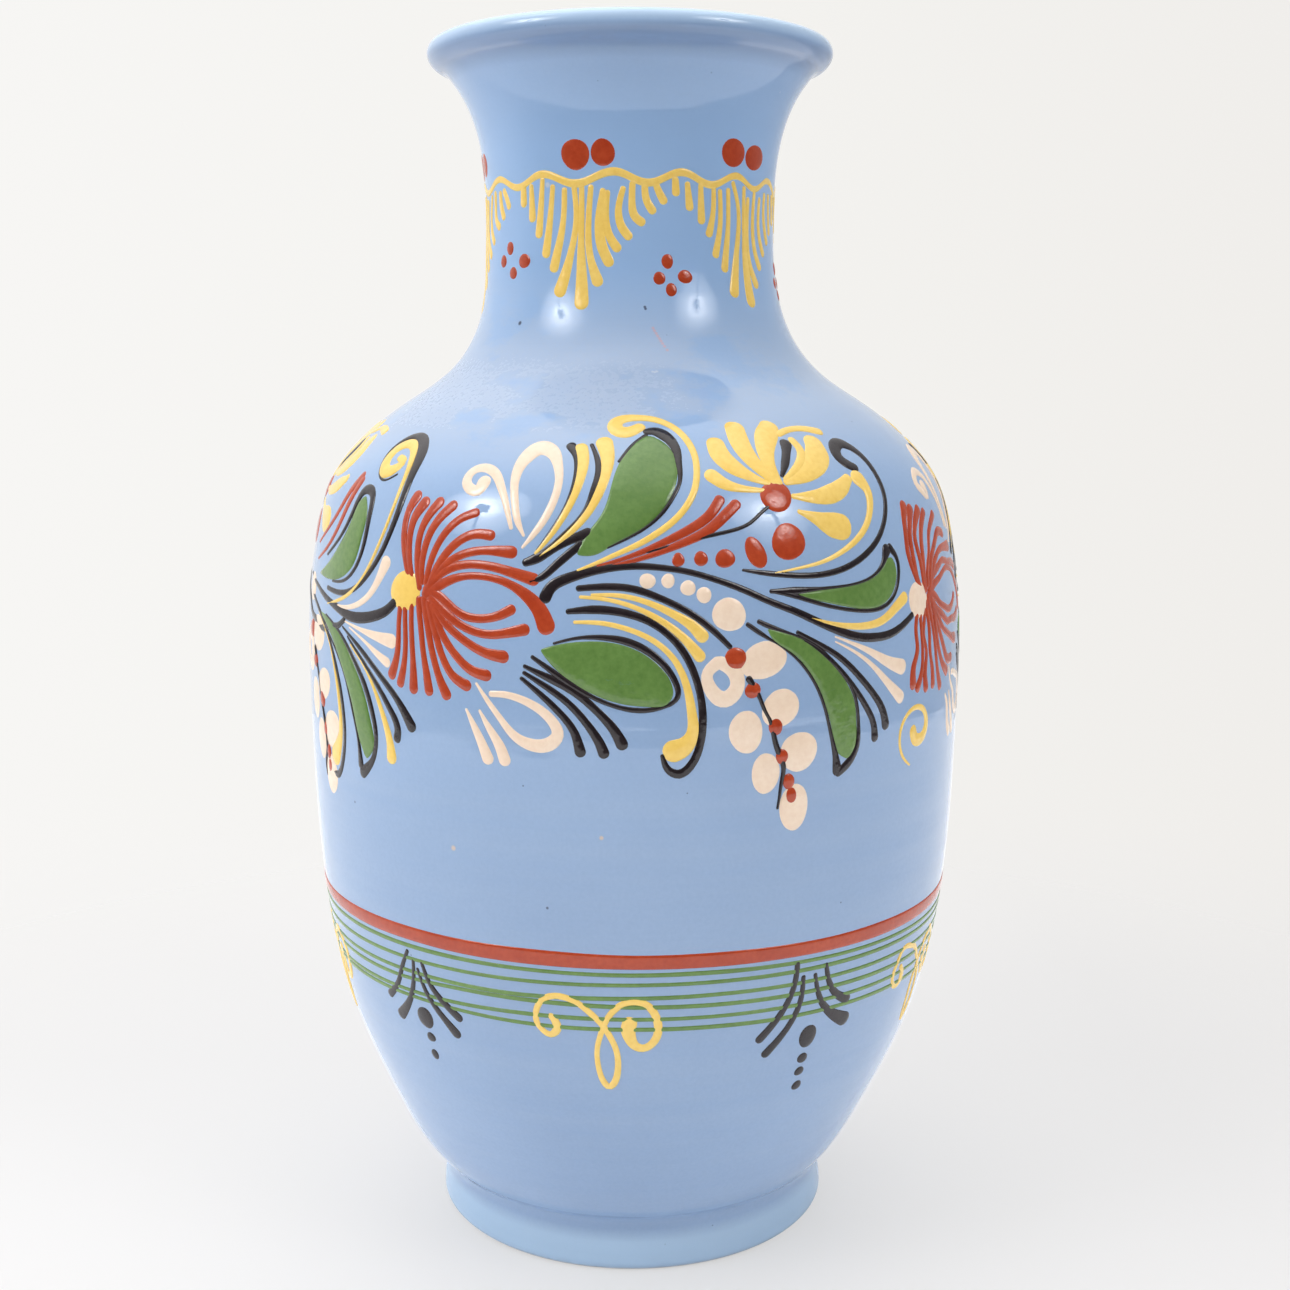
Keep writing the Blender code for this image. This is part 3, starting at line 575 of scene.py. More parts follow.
CLOSING_BLACK = strokes("""
    -62 197.6, -57 197.2, -52 199, -48.5 203, -45.5 209, -43.3 217, -42.3 225, -42.4 233, -43.3 240,
      -45.5 244.5, -48.5 246.3, -51.8 244.5, -53.6 240.5, -53.3 235.5, -51.5 231.5, -49.5 230.4,
      -46.5 232.5 | 1.6 1.8 2 2 2 2.2 2.4 2.8 3.2 4.5 4.2 2.6 1.4 0.9 0.9 0.8;
    -54.8 187.9, -49 183, -43.5 176.5, -39.5 170.5, -36.8 164.3 | 0.8 1.8 2.2 2.6 4;
    -53 185.5, -48.5 180, -44.5 174, -41.5 168, -39.8 162, -40 160.2 | 0.8 1.6 2 2.4 3 3.2;
    -72 194.5, -65 189.5, -60 183, -57 175, -55.2 166, -54.8 157.5, -56 149, -58.5 144.2, -61 146.5,
      -61.8 149.5 | 1.6 1.8 1.9 2 2 2 2.2 2.6 1.8 1;
    -75 199.5, -68 197, -62 194.5, -57 192.7, -53 191.5, -49 191.6, -45 193, -42 195.3, -40.3 198 | 1.2 1.6
      2 2.4 3 3.6 3.4 3
""")
CLOSING_CREAM = strokes("""
    -58 193.6, -54 193.6, -50 195.3, -46.8 198.8, -44.8 203.5, -43.6 207.5 | 0.6 1.4 2 2.4 3.2 4.6;
    -54 189.6, -49 188.3, -44 187.2, -41 186.7 | 0.6 1.4 3.2 4.6;
    -52.5 188.2, -47 184.7, -43.5 181.8, -42 180.7 | 0.5 1.2 2.6 3.2
""")
CLOSING_RUST = strokes("""
    -70 204.8, -64 210, -60.5 216.5, -58.5 223.5, -57 229.5 | 1.2 1.8 2.4 3 3.2;
    -71 209.5, -66 214.5, -62 220.5, -59.5 227, -57.8 231 | 1.2 1.8 2.4 3 3.2
""")
CLOSING_LEAF = routes("""
    -68 200.8, -63 205, -59 211, -56 218.5, -54.5 224, -53 225.3;
    -68 200.8, -61 200, -55.5 202, -52.5 206, -51.2 213, -51 220.5, -53 225.3
""")
CLOSING_LEAF_LINES = strokes("""
    -64 207, -59 213, -56 221, -54 227, -51.5 226.5, -50.2 220, -50.3 212, -51.8 205.5, -55 201.2,
      -60 199.9 | 1.2 1.6 2.2 3.5 3 2.4 2 1.6 1.2 0.8
""")
CLOSING_LONG_LEAF = routes("""
    -66 190.3, -61 186.5, -56.5 179.5, -53.5 172, -51.5 164, -50.2 157.5, -48 152;
    -66 190.3, -60 189, -55 185, -51 178.5, -48 171, -46.3 163, -45.8 156, -48 152
""")
CLOSING_LONG_LEAF_LINES = strokes("""
    -62 189.8, -56 186.2, -51.5 180.5, -48 173.5, -46 166, -45.2 158.5, -46.5 152, -49.2 148 |
      0.8 1.2 1.8 2.4 2.4 2 2.2 4;
    -64 188.5, -58.5 182.5, -54 174, -51.8 165, -50.3 157, -49.8 150 | 0.6 0.8 0.9 1.1 1.4 3
""")
CLOSING_CLUSTER_TURN = -86

RUST_EYE = ((-38.4, 200.8), 11.4, 11.5)  # centre, width, height
YELLOW_EYE = ((23.8, 227.5), 9.6, 9)

OVER = 0.4  # crown of slip laid over other slip
FULL = 0.34  # crown of the scrolls, buds and double curls
LOW = 0.3  # crown of outlines, berries and the rust hoop
BERRY = 0.46  # crown of the drops on the berries
FRIEZE_WOBBLE = 0.4  # unsteadiness of the hand, in millimetres, away from the front


def frieze_unit(number, looks):
    place = FRIEZE_PLACES[number - 1]
    closing = number == len(FRIEZE_PLACES)
    wobble = 0.0 if number == 1 else FRIEZE_WOBBLE
    own = (0, 0, 1)
    cluster = (CLOSING_CLUSTER_TURN, place[1], 1) if closing else place

    def slip(step, where=place, unsteady=wobble):
        return Slip(where, unsteady, 100 * number + step)

    def lay(made, *groups, crown=CROWN):
        for group in groups:
            for route, widths in group:
                made.stroke(route, widths, crown)

    def dab(made, spots, **shape):
        for spot in spots:
            made.blob(*spot, **shape)

    petals = slip(1)
    lay(petals, RUST_PETALS)
    petals.build(f"rust_petals_{number}", looks, "rust", f"rust_flower_{number}")
    eye = slip(2)
    dab(eye, [RUST_EYE], crown=OVER, turns=36)
    eye_colour = "yellow" if number % 2 else "cream"
    eye.build(f"rust_petals_eye_{number}", looks, eye_colour, f"rust_flower_eye_{number}")

    petals = slip(3)
    lay(petals, YELLOW_PETALS)
    petals.build(f"yellow_petals_{number}", looks, "yellow", f"yellow_flower_{number}")
    eye = slip(4)
    dab(eye, [YELLOW_EYE], crown=OVER, turns=36)
    eye.build(f"yellow_petals_eye_{number}", looks, "rust", f"yellow_flower_eye_{number}")

    leaves = [("upper", UPPER_LEAF, UPPER_LEAF_LINES, place), ("lower", LOWER_LEAF, LOWER_LEAF_LINES, place)]
    if closing:
        leaves += [("side", CLOSING_LEAF, CLOSING_LEAF_LINES, own),
                   ("long", CLOSING_LONG_LEAF, CLOSING_LONG_LEAF_LINES, own)]
    else:
        leaves += [("side", SIDE_LEAF, SIDE_LEAF_LINES, place), ("long", LONG_LEAF, LONG_LEAF_LINES, place)]
    for step, (name, sides, lines, where) in enumerate(leaves):
        unsteady = 0.0 if where is own else wobble
        blade = slip(20 + step, where, unsteady)
        blade.leaf(*sides)
        blade.build(f"{name}_leaf_{number}", looks, "green", f"leaf_{name}_{number}")
        outline = slip(30 + step, where, unsteady / 2)
        lay(outline, lines, crown=LOW)
        outline.build(f"{name}_leaf_outline_{number}", looks, "black")

    vines = slip(5)
    lay(vines, BLACK_VINES)
    vines.build(f"black_vines_{number}", looks, "black", f"stem_{number}")
    ends = ((BLACK_RIGHT_END, "black"), (YELLOW_RIGHT_END, "yellow"), (CREAM_PAIR, "cream"))
    end_place, end_wobble = place, wobble
    if closing:
        ends = ((CLOSING_BLACK, "black"), (CLOSING_YELLOW, "yellow"), (CLOSING_CREAM, "cream"),
                (CLOSING_RUST, "rust"))
        end_place, end_wobble = own, 0.0
    for step, (group, colour) in enumerate(ends):
        made = slip(40 + step, end_place, end_wobble)
        lay(made, group, crown=OVER if colour == "yellow" else CROWN)
        made.build(f"{colour}_end_strokes_{number}", looks, colour)

    scrolls = slip(6)
    lay(scrolls, YELLOW_NEAR_UPPER_LEAF, YELLOW_SCROLLS, crown=FULL)
    if number == 2:
        scrolls.place, scrolls.wobble = own, 0.0
        scrolls.stroke(*FLOWER_SCROLL)
    scrolls.build(f"yellow_scrolls_{number}", looks, "yellow")
    cream = slip(7)
    lay(cream, CREAM_STROKES)
    dab(cream, CREAM_DROPS, crown=OVER)
    cream.build(f"cream_strokes_{number}", looks, "cream")
    buds = slip(8)
    lay(buds, RUST_BUDS)
    dab(buds, RUST_DROPS, crown=FULL, egg=0.12)
    buds.build(f"rust_buds_{number}", looks, "rust")

    berries = slip(9, cluster)
    berries.stroke(*CREAM_RING)
    dab(berries, CREAM_CLUSTER, crown=LOW, turns=36)
    berries.build(f"cream_cluster_{number}", looks, "cream")
    stalk = slip(10, cluster)
    stalk.stroke(*BLACK_BERRY_STALK, OVER)
    stalk.build(f"black_stalk_{number}", looks, "black")
    tops = slip(11, cluster)
    dab(tops, BERRY_DROPS, crown=BERRY)
    tops.build(f"rust_drops_{number}", looks, "rust")


# The neck: wavy line, tassel fans, paired drops and four-dot clusters

WAVE_CRESTS = (-87, -60, -34.5, -6, 19.5, 44, 67, 93, 118.5, 144, 170, 195.5, 221, 247)
WAVE_RISE = 332.7
WAVE_HEIGHT = 1.5
WAVE_WIDTHS = ((-170, 2.0), (-120, 2.4), (-60, 2.0), (-20, 2.5), (30, 2.3), (60, 1.9), (120, 2.3))
FIRST_FAN = strokes("""
    -44.2 331, -44.3 326.8 | 2.6 3;
    -40 331, -39.8 322.5 | 1.8 3;
    -34.5 332.5, -36.5 318 | 1.8 3;
    -30 330.5, -30.8 325, -33 312.5 | 1.8 2 3.2;
    -25 329.5, -25.5 322, -29.5 308.5 | 1.9 2 3.4;
    -21 330, -20.3 322, -22.5 312, -26.8 302 | 1.8 1.8 2.4 4.5;
    -18 330, -18.3 315, -18.2 298.5 | 1.8 2.2 4.8;
    -14.5 330, -15.5 320, -14.5 310, -12.3 304.5 | 1.8 2 2.4 3.8;
    -10 329, -11.3 321, -10.3 314, -8 309.8 | 1.8 3 3.4 3.4;
    -8.3 328.5, -8.8 321, -7.3 316.5, -4.8 313.6 | 1.8 2.2 2.6 3;
    -2.5 329.5, -4.2 323.5, -2.8 319, -0.6 316.8 | 1.8 2.2 2.8 2.8;
    1 330.8, 0.8 326, 2 322, 4.2 320.6 | 2 2.2 2.8 2.8;
    5.5 330.5, 6.2 326.5, 8.3 323.8 | 2 2.4 2.7;
    9.5 331, 11 328.5, 12.5 326.5 | 2 2.4 2.7
""")
SECOND_FAN = strokes("""
    17 332, 17.3 328.8 | 2.2 2.7;
    21.8 331, 22.8 325 | 1.8 2.8;
    27.3 330.8, 27.8 321.5 | 1.8 2.8;
    33 330, 32.8 323, 31.2 318 | 1.8 2 2.8;
    36 329.5, 36.2 320, 34 312.3 | 1.8 2 2.8;
    40 330, 40.2 320, 37.8 308.5 | 1.8 2 3;
    42.5 332, 45.5 326, 44.8 314, 41.3 302 | 1.8 1.8 2.4 4.2;
    48.8 331, 49.3 318, 49.8 299.5 | 1.8 2.2 4.6;
    51.5 328, 51 318, 52.5 309, 55 304.5 | 1.8 2 2.4 3.4;
    55.8 330, 55 322, 56.3 314, 59 309.5 | 1.8 2 2.4 3;
    60 328.5, 59.5 321, 61 316.5, 63.2 313.5 | 1.8 2 2.4 2.8;
    64.5 330, 64.5 323, 67.5 317 | 1.8 2.2 2.7;
    69 330, 71 320 | 1.8 2.7;
    74 330, 76 323 | 1.8 2.7
""")
FIRST_PAIR = drops("-20.2 339 9.2 9.2 25, -9.8 339.3 7.3 8.3 10")
SECOND_PAIR = drops("41.7 340.4 10 8.5 0, 54.2 339.8 10 7.8 0")
FIRST_DOTS = drops("-52.7 314.3 3.6 4, -57.4 310.9 3.6 4, -44.2 310.8 5 4.5, -50.3 307.5 4 4")
SECOND_DOTS = drops("13.9 309.8 3.6 4.6, 10.2 305.2 3.9 3.9, 20.2 305.8 4.9 4.3, 14.4 301.8 3.6 4")
# Each fan: which drawing, and the degrees it is turned from where it was drawn
FANS = ((FIRST_FAN, FIRST_PAIR, -66), (FIRST_FAN, FIRST_PAIR, 0), (SECOND_FAN, SECOND_PAIR, 0),
        (SECOND_FAN, SECOND_PAIR, 59), (FIRST_FAN, FIRST_PAIR, 180), (SECOND_FAN, SECOND_PAIR, 175))
DOT_TURNS = ((FIRST_DOTS, 0), (SECOND_DOTS, 0), (SECOND_DOTS, 66.5), (FIRST_DOTS, 184), (SECOND_DOTS, 179),
             (FIRST_DOTS, 299))
FRONT_FANS = (2, 3)  # these two are drawn as in the photo, with a steady hand
FAN_WOBBLE, DOT_WOBBLE = 0.25, 0.15


def neck_slip(looks):
    crests = np.array(WAVE_CRESTS + (WAVE_CRESTS[0] + 360,))

    def wave(azimuth):
        azimuth = (azimuth - crests[0]) % 360 + crests[0]
        phase = np.interp(azimuth, crests, np.arange(len(crests)))
        return WAVE_RISE + WAVE_HEIGHT * math.cos(2 * math.pi * phase)

    line = Slip()
    line.hoop(wave, round_table(*WAVE_WIDTHS), steps=504)
    line.build("garland_wave", looks, "yellow", "neck_garland")
    for number, (hanging, pair, turn) in enumerate(FANS, 1):
        wobble = 0 if number in FRONT_FANS else FAN_WOBBLE
        fan = Slip((turn, 0, 1), wobble, 700 + number)
        for route, widths in hanging:
            fan.stroke(route, widths)
        fan.build(f"garland_drops_{number}", looks, "yellow", f"tassel_fan_{number}")
        dots = Slip((turn, 0, 1), wobble, 720 + number)
        for drop in pair:
            dots.blob(*drop)
        dots.build(f"rust_pair_{number}", looks, "rust")
    for number, (dots, turn) in enumerate(DOT_TURNS, 1):
        cluster = Slip((turn, 0, 1), DOT_WOBBLE, 740 + number)
        for drop in dots:
            cluster.blob(*drop)
        cluster.build(f"rust_dots_{number}", looks, "rust")


# The lower band: rust hoop, six green hoops, black sprays and yellow double curls

RUST_HOOP = routes("""
    -180 101.7, -120 101.9, -65 101.8, -50 101.8, -40 102, -30 101.7, -15 101.6, 0 101.5, 15 101.4,
      25 101.4, 35 101.2, 45 101, 60 101, 110 101.3;
    -180 105.9, -120 106.2, -65 106, -50 106.3, -40 106.4, -30 106.3, -15 106.4, 0 105.8, 15 105.9,
      25 105.7, 35 105.5, 45 105.6, 60 105.3, 110 105.6
""")
GREEN_HOOPS = routes("""
    -65 84, -50 84.1, -40 84.2, -30 84, -20 83.6, -10 83.4, 0 83.5, 15 83.4, 25 83.1, 35 82.9, 45 82.6,
      60 81.8, 120 82.2, -150 83.4;
    -65 85.4, -50 85.7, -40 85.9, -30 86.2, -20 86.6, 10 86.6, 25 86.5, 35 86.1, 45 85.8, 60 85.1,
      120 85.3, -150 86;
    -65 89.5, -50 89.6, -42 89.8, -36 90.5, -30 90.9, -20 90.9, -10 90.7, 0 90.3, 10 90.2, 25 90, 35 89.8,
      45 89.4, 60 88.9, 120 89.2, -150 89.8;
    -65 92, -50 92.1, -35 92.3, -20 92.2, -10 92.7, 0 93, 15 93.3, 35 93.1, 60 92.6, 120 92.4, -150 92;
    -65 96, -50 96.2, -35 96.4, -20 96.6, -10 96.8, 0 97, 15 97.1, 35 96.9, 60 96.5, 120 96.2, -150 95.9;
    -65 100.2, -50 100.3, -30 100.2, -10 100, 0 99.9, 10 100, 25 99.7, 35 99.4, 45 99.2, 60 98.9, 120 99.1,
      -150 99.9
""")
GREEN_WIDTH, GREEN_VARIES, GREEN_THICKER, GREEN_CROWN = 1.35, 0.15, 0.45, 0.22
LEFT_SPRAY = strokes("""
    -41 98.3, -43 92.5, -45 86.5, -47.8 82 | 1.4 1.8 2 2.9;
    -39.8 96, -40.5 89, -42.5 82, -45.6 76.4 | 1.4 1.9 2.4 3.9;
    -37.8 96, -36.5 90, -33.5 84.5, -31.1 81.4 | 1.4 2.1 2.7 3.1;
    -39 93.5, -37.5 86.5, -34.5 80, -32.2 75.9 | 1.2 2 2.6 3.7
""")
LEFT_SPRAY_DROPS = drops("-39 78.2 6.6 7.2, -38.5 72 3.6 3.4, -38.6 66.1 3 3.8")
RIGHT_SPRAY = strokes("""
    27.4 99.3, 27.1 92, 25.2 84.5, 21.8 77.4 | 1.9 2.1 2.4 2.9;
    28.8 94.7, 28.8 87.5, 26.7 79, 23.4 72.3 | 1.6 2.1 2.4 3.1;
    33.3 97, 34.4 91.5, 36.6 86.8, 39.2 84.3 | 1.6 2.1 2.6 3.4;
    31.2 94.7, 32.7 87.5, 35.3 82, 39.5 77.7 | 1.4 2 2.8 5
""")
RIGHT_SPRAY_DROPS = drops("31.6 75.2 6.1 8, 31.4 68 3.8 3.6, 31.4 63.4 3.5 3.3, 31.7 58.2 3.5 3.6")
SPRAYS = ((LEFT_SPRAY, LEFT_SPRAY_DROPS, 0), (RIGHT_SPRAY, RIGHT_SPRAY_DROPS, 0),
          (LEFT_SPRAY, LEFT_SPRAY_DROPS, 144), (RIGHT_SPRAY, RIGHT_SPRAY_DROPS, 147),
          (LEFT_SPRAY, LEFT_SPRAY_DROPS, 290))
SPRAY_WOBBLE, CURL_WOBBLE = 0.3, 0.2
SPRAY_CROWN = 0.32
DOUBLE_CURL = stroke("""
    -13.6 86.6, -12.9 85, -12.7 83.2, -13.1 81.6, -14 80.8, -15.2 82, -16.1 84.2, -16.2 87, -15.6 90,
      -14.5 92, -12.9 92.9, -11 92.6, -9.2 91.3, -7.5 89, -6 86.5, -5 84.5, -4 81.5, -3 77.5, -2.6 73,
      -2.8 68.5, -3.4 65.7, -4.2 64.5, -4.9 65.6, -5.7 69, -6.1 73.5, -6 78, -5.4 82, -4.6 85.8, -3.3 89.2,
      -1.8 91.3, 0 92.1, 1.8 91.3, 3.2 88.8, 3.9 85.5, 3.9 81.8, 3 78.9, 1.6 77.6, 0.3 78.3, -0.6 80.8,
      -0.9 83.6, -0.7 85.4 | 1.9 2.6 2.9 2.4 2 1.9 1.9 1.9 1.9 2 2.1 2.1 2 2 2 2 1.9 1.8 1.8 2 2.2 2.3 2
      1.7 1.6 1.6 1.7 1.8 2 2.2 2.3 2.3 2.4 2.5 2.5 2.5 2.6 2.8 3.6 4.6 4.4
""")
CURL_TURNS = (-68.3, 0, 68.7, 143, 217)


def lower_band(looks):
    low, high = (round_table(*rows) for rows in RUST_HOOP)
    hoop = Slip()
    hoop.hoop(lambda a: (low(a) + high(a)) / 2, lambda a: high(a) - low(a), LOW)
    hoop.build("rust_hoop", looks, "rust", "rust_band")
    dice = random.Random(5)
    for number, rows in enumerate(GREEN_HOOPS, 1):
        widths = [(azimuth, GREEN_WIDTH + dice.uniform(-GREEN_VARIES, GREEN_VARIES))
                  for azimuth in range(-180, 180, 24)]
        if number < 4:  # the lower three are thicker on the left
            widths = [(a, w + (GREEN_THICKER if -60 < a < -38 else 0)) for a, w in widths]
        line = Slip()
        line.hoop(round_table(*rows), round_table(*widths), GREEN_CROWN)
        line.build(f"green_hoop_{number}", looks, "green", f"green_line_{number}")
    for number, (lines, dots, turn) in enumerate(SPRAYS, 1):
        spray = Slip((turn, 0, 1), SPRAY_WOBBLE if turn else 0, 800 + number)
        for route, widths in lines:
            spray.stroke(route, widths, SPRAY_CROWN)
        for dot in dots:
            spray.blob(*dot, crown=SPRAY_CROWN)
        spray.build(f"black_spray_{number}", looks, "black")
    for number, turn in enumerate(CURL_TURNS, 1):
        curl = Slip((turn, 0, 1), CURL_WOBBLE if turn else 0, 820 + number)
        curl.stroke(*DOUBLE_CURL, FULL)
        curl.build(f"yellow_curl_{number}", looks, "yellow")


# Materials


def rgb(red, green, blue):
    """Linear colour from 0-255 display values."""
    linear = [((v / 255 + 0.055) / 1.055)**2.4 if v > 10 else v / 255 / 12.92 for v in (red, green, blue)]
    return (*linear, 1.0)


class Nodes:
    """Short way to write a node tree."""

    def __init__(self, tree):
        self.tree = tree

    def plug(self, value, socket):
        if isinstance(value, bpy.types.NodeSocket):
            self.tree.links.new(value, socket)
        else:
            socket.default_value = value

    def add(self, kind, inputs=None, **settings):
        node = self.tree.nodes.new(kind)
        for name, value in settings.items():
            setattr(node, name, value)
        for name, value in (inputs or {}).items():
            self.plug(value, node.inputs[name])
        return node

    def spread(self, value, low, high, to_low=0.0, to_high=1.0):
        return self.add("ShaderNodeMapRange", {"Value": value, "From Min": low, "From Max": high,
                                               "To Min": to_low, "To Max": to_high}).outputs["Result"]

    def band(self, height, start, full, thinning, end):
        """1 between full and thinning, and 0 before start and past end, all in millimetres."""
        return self.sums("MULTIPLY", self.spread(height, start * MM, full * MM),
                         self.spread(height, end * MM, thinning * MM))

    def sums(self, operation, *values):
        return self.add("ShaderNodeMath", dict(enumerate(values)), operation=operation).outputs[0]

    def vectors(self, operation, *values):
        return self.add("ShaderNodeVectorMath", dict(enumerate(values)), operation=operation).outputs

    def ramp(self, value, stops, lowest=0.0):
        """Grey or coloured stops, by places from lowest to 1."""
        made = self.add("ShaderNodeValToRGB", {0: self.spread(value, lowest, 1.0)})
        elements = made.color_ramp.elements
        while len(elements) < len(stops):
            elements.new(0.5)
        for element, (place, tone) in zip(elements, stops):
            element.position = (place - lowest) / (1 - lowest)
            element.color = tone if isinstance(tone, tuple) else (tone, tone, tone, 1)
        return made.outputs["Color"]


class Graph(Nodes):
    """A new material's nodes."""

    def __init__(self, name):
        self.material = bpy.data.materials.new(name)
        self.material.use_nodes = True
        super().__init__(self.material.node_tree)
        self.shader = self.tree.nodes["Principled BSDF"]
        self.place = self.add("ShaderNodeTexCoord").outputs["Object"]

    def stretched(self, x, y, z):
        return self.add("ShaderNodeMapping", {"Vector": self.place, "Scale": (x, y, z)}).outputs["Vector"]

    def noise(self, vector, scale, detail=4.0, rough=0.55):
        return self.add("ShaderNodeTexNoise", {"Vector": vector, "Scale": scale, "Detail": detail,
                                               "Roughness": rough}).outputs["Fac"]

    def mix(self, factor, a, b, share=1.0):
        """From a to b, by share of factor."""
        node = self.add("ShaderNodeMix", data_type="RGBA")
        if share != 1.0:
            factor = self.sums("MULTIPLY", factor, share)
        for index, value in ((0, factor), (6, a), (7, b)):
            self.plug(value, node.inputs[index])
        return node.outputs[2]

    def specks(self, scale, size, share):
        """1 in a scatter of small spots: size is their radius in cells, share how many cells have one."""
        cell = self.add("ShaderNodeTexVoronoi", {"Vector": self.place, "Scale": scale})
        spot = self.spread(cell.outputs["Distance"], size, size * 0.6)
        tone = self.add("ShaderNodeSeparateColor", {"Color": cell.outputs["Color"]}).outputs["Red"]
        return self.sums("MULTIPLY", spot, self.sums("GREATER_THAN", tone, 1 - share))

    def spot(self, centre, radius):
        """1 inside a small soft-edged ball."""
        return self.spread(self.vectors("DISTANCE", self.place, tuple(centre))["Value"], radius, radius * 0.5)

    def finish(self, colour, roughness, height, depth):
        bump = self.add("ShaderNodeBump", {"Height": height, "Strength": 1.0, "Distance": depth})
        look = {"Base Color": colour, "Roughness": roughness, "Normal": bump.outputs["Normal"]}
        for name, value in look.items():
            self.plug(value, self.shader.inputs[name])
        return self.material


BLUE, LIGHT_BLUE = rgb(145, 171, 207), rgb(152, 178, 213)
STREAK_BLUE, GRAIN_BLUE = rgb(164, 185, 213), rgb(128, 153, 190)
# The first is painted light, a lighter blue laid in bands up the wall; the second is painted shade under the
# lip
PAINTED_LIT_BLUE, SHADED_BLUE = rgb(155, 188, 229), rgb(128, 150, 184)
# Painted light: lighter blues for the rim top and for the foot's side
PAINTED_LIGHT_ON_RIM, PAINTED_LIGHT_ON_FOOT = rgb(196, 221, 246), rgb(180, 208, 233)
DARK_SPECK, PALE_SPECK = rgb(60, 66, 84), rgb(214, 222, 234)
FILM, BARE_CLAY = rgb(186, 193, 205), rgb(176, 128, 98)
# Where the blue changes with height, in millimetres
PAINTED_LIGHT_BANDS = ((120, 200, 0.3), (262, 285, 0.6), (325, 350, -0.55))  # from, to, share of the lighter blue added, as painted light
UNDER_LIP = (347, 351, 353.5, 355.5)
RIM_TOP = (354.5, 357.5)
FOOT_SIDE = (13, 9)
STANDING_EDGE = (1.4, 0.6)
FILM_BAND = (236, 250, 262, 292)  # the worn film on the shoulder
FILM_ACROSS = (80, 0)  # it is full on the left, and thins towards the right
# Small marks in the glaze: colour, radius in millimetres, then where they are
PINK_SCRAPE, DARK_NICK, PALE_ARC = rgb(196, 172, 186), rgb(84, 96, 124), rgb(196, 206, 222)
CHIP, DARK_PIT, PALE_SPOT = rgb(206, 190, 176), rgb(70, 80, 104), rgb(196, 206, 220)
MARKS = (
    (PINK_SCRAPE, 0.55, (6.8, 290.9), (7.2, 290.1), (7.7, 289.3), (8.1, 288.5), (8.6, 287.7), (9.0, 286.9),
     (9.4, 286.1), (9.9, 285.2), (10.6, 284.0)),
    (DARK_NICK, 0.5, (4.5, 297.1), (4.7, 296.6)),
    (PALE_ARC, 0.5, (5.2, 276.2), (5.8, 276.0), (6.4, 276.3)),
    (CHIP, 0.9, (-29.2, 132.2)),
    (CHIP, 0.7, (-4.9, 138.5)),
    (DARK_PIT, 0.8, (-43.3, 292.7)),
    (PALE_SPOT, 0.9, (-32.2, 331.2)),
)


def blue_glaze():
    g = Graph("blue_glaze")
    split = g.add("ShaderNodeSeparateXYZ", {"Vector": g.place}).outputs
    across, height = split["X"], split["Z"]

    def by_height(start, end, share=1.0):
        return g.spread(height, start * MM, end * MM, 0.0, share)

    tone = g.mix(g.spread(g.noise(g.place, 11, 3), 0.35, 0.65), BLUE, LIGHT_BLUE)
    streaks = g.noise(g.stretched(5, 5, 210), 1.0, 6, 0.65)
    tone = g.mix(g.spread(streaks, 0.3, 0.7, 0, 0.35), tone, STREAK_BLUE)
    grain = g.noise(g.place, 900, 2)
    tone = g.mix(g.spread(grain, 0.3, 0.7, 0, 0.18), tone, GRAIN_BLUE)
    specks = g.sums("MAXIMUM", g.specks(90, 0.045, 0.12), g.specks(210, 0.06, 0.05))
    tone = g.mix(specks, tone, DARK_SPECK, 0.75)
    tone = g.mix(g.specks(70, 0.03, 0.1), tone, PALE_SPECK, 0.6)
    standing = by_height(*STANDING_EDGE)
    tone = g.mix(standing, tone, BARE_CLAY)

    film = g.spread(across, FILM_ACROSS[0] * MM, FILM_ACROSS[1] * MM, 0.3, 1.0)
    film = g.sums("MULTIPLY", g.band(height, *FILM_BAND), film)
    wiped = g.spread(g.noise(g.stretched(31, 31, 66), 1.0, 7, 0.62), 0.39, 0.48)
    film = g.sums("MULTIPLY", film, g.sums("MULTIPLY", wiped, g.spread(grain, 0.25, 0.75, 0.7, 1.0)))
    # Painted light: the blue turns lighter up the belly and more so on the neck, then less towards the mouth
    painted_light = 0.0
    for step in PAINTED_LIGHT_BANDS:
        painted_light = g.sums("ADD", painted_light, by_height(*step))
    tone = g.mix(painted_light, tone, PAINTED_LIT_BLUE)
    tone = g.mix(film, tone, FILM, 0.5)
    tone = g.mix(g.band(height, *UNDER_LIP), tone, SHADED_BLUE, 0.8)
    # Painted light: a lighter blue on the rim top
    tone = g.mix(by_height(*RIM_TOP, 0.8), tone, PAINTED_LIGHT_ON_RIM)
    # Painted light: a lighter blue on the foot's side, standing in for light bounced from the floor
    tone = g.mix(by_height(*FOOT_SIDE, 0.7), tone, PAINTED_LIGHT_ON_FOOT)
    for colour, size, *spots in MARKS:
        for azimuth, rise in spots:
            tone = g.mix(g.spot(on_wall(azimuth, rise, 0), size * MM), tone, colour)

    rough = g.spread(g.noise(g.place, 35, 4), 0.3, 0.7, 0.02, 0.05)
    rough = g.sums("ADD", rough, g.sums("MULTIPLY", film, 0.3))
    rough = g.sums("ADD", rough, g.sums("MULTIPLY", standing, 0.6))
    broad = g.noise(g.stretched(22, 22, 46), 1.0, 2)
    turning = g.noise(g.stretched(3, 3, 420), 1.0, 3)
    relief = g.sums("ADD", broad, g.sums("MULTIPLY", turning, 0.05))
    relief = g.sums("SUBTRACT", relief, g.sums("MULTIPLY", specks, 0.06))
    return g.finish(tone, rough, relief, 0.6 * MM)


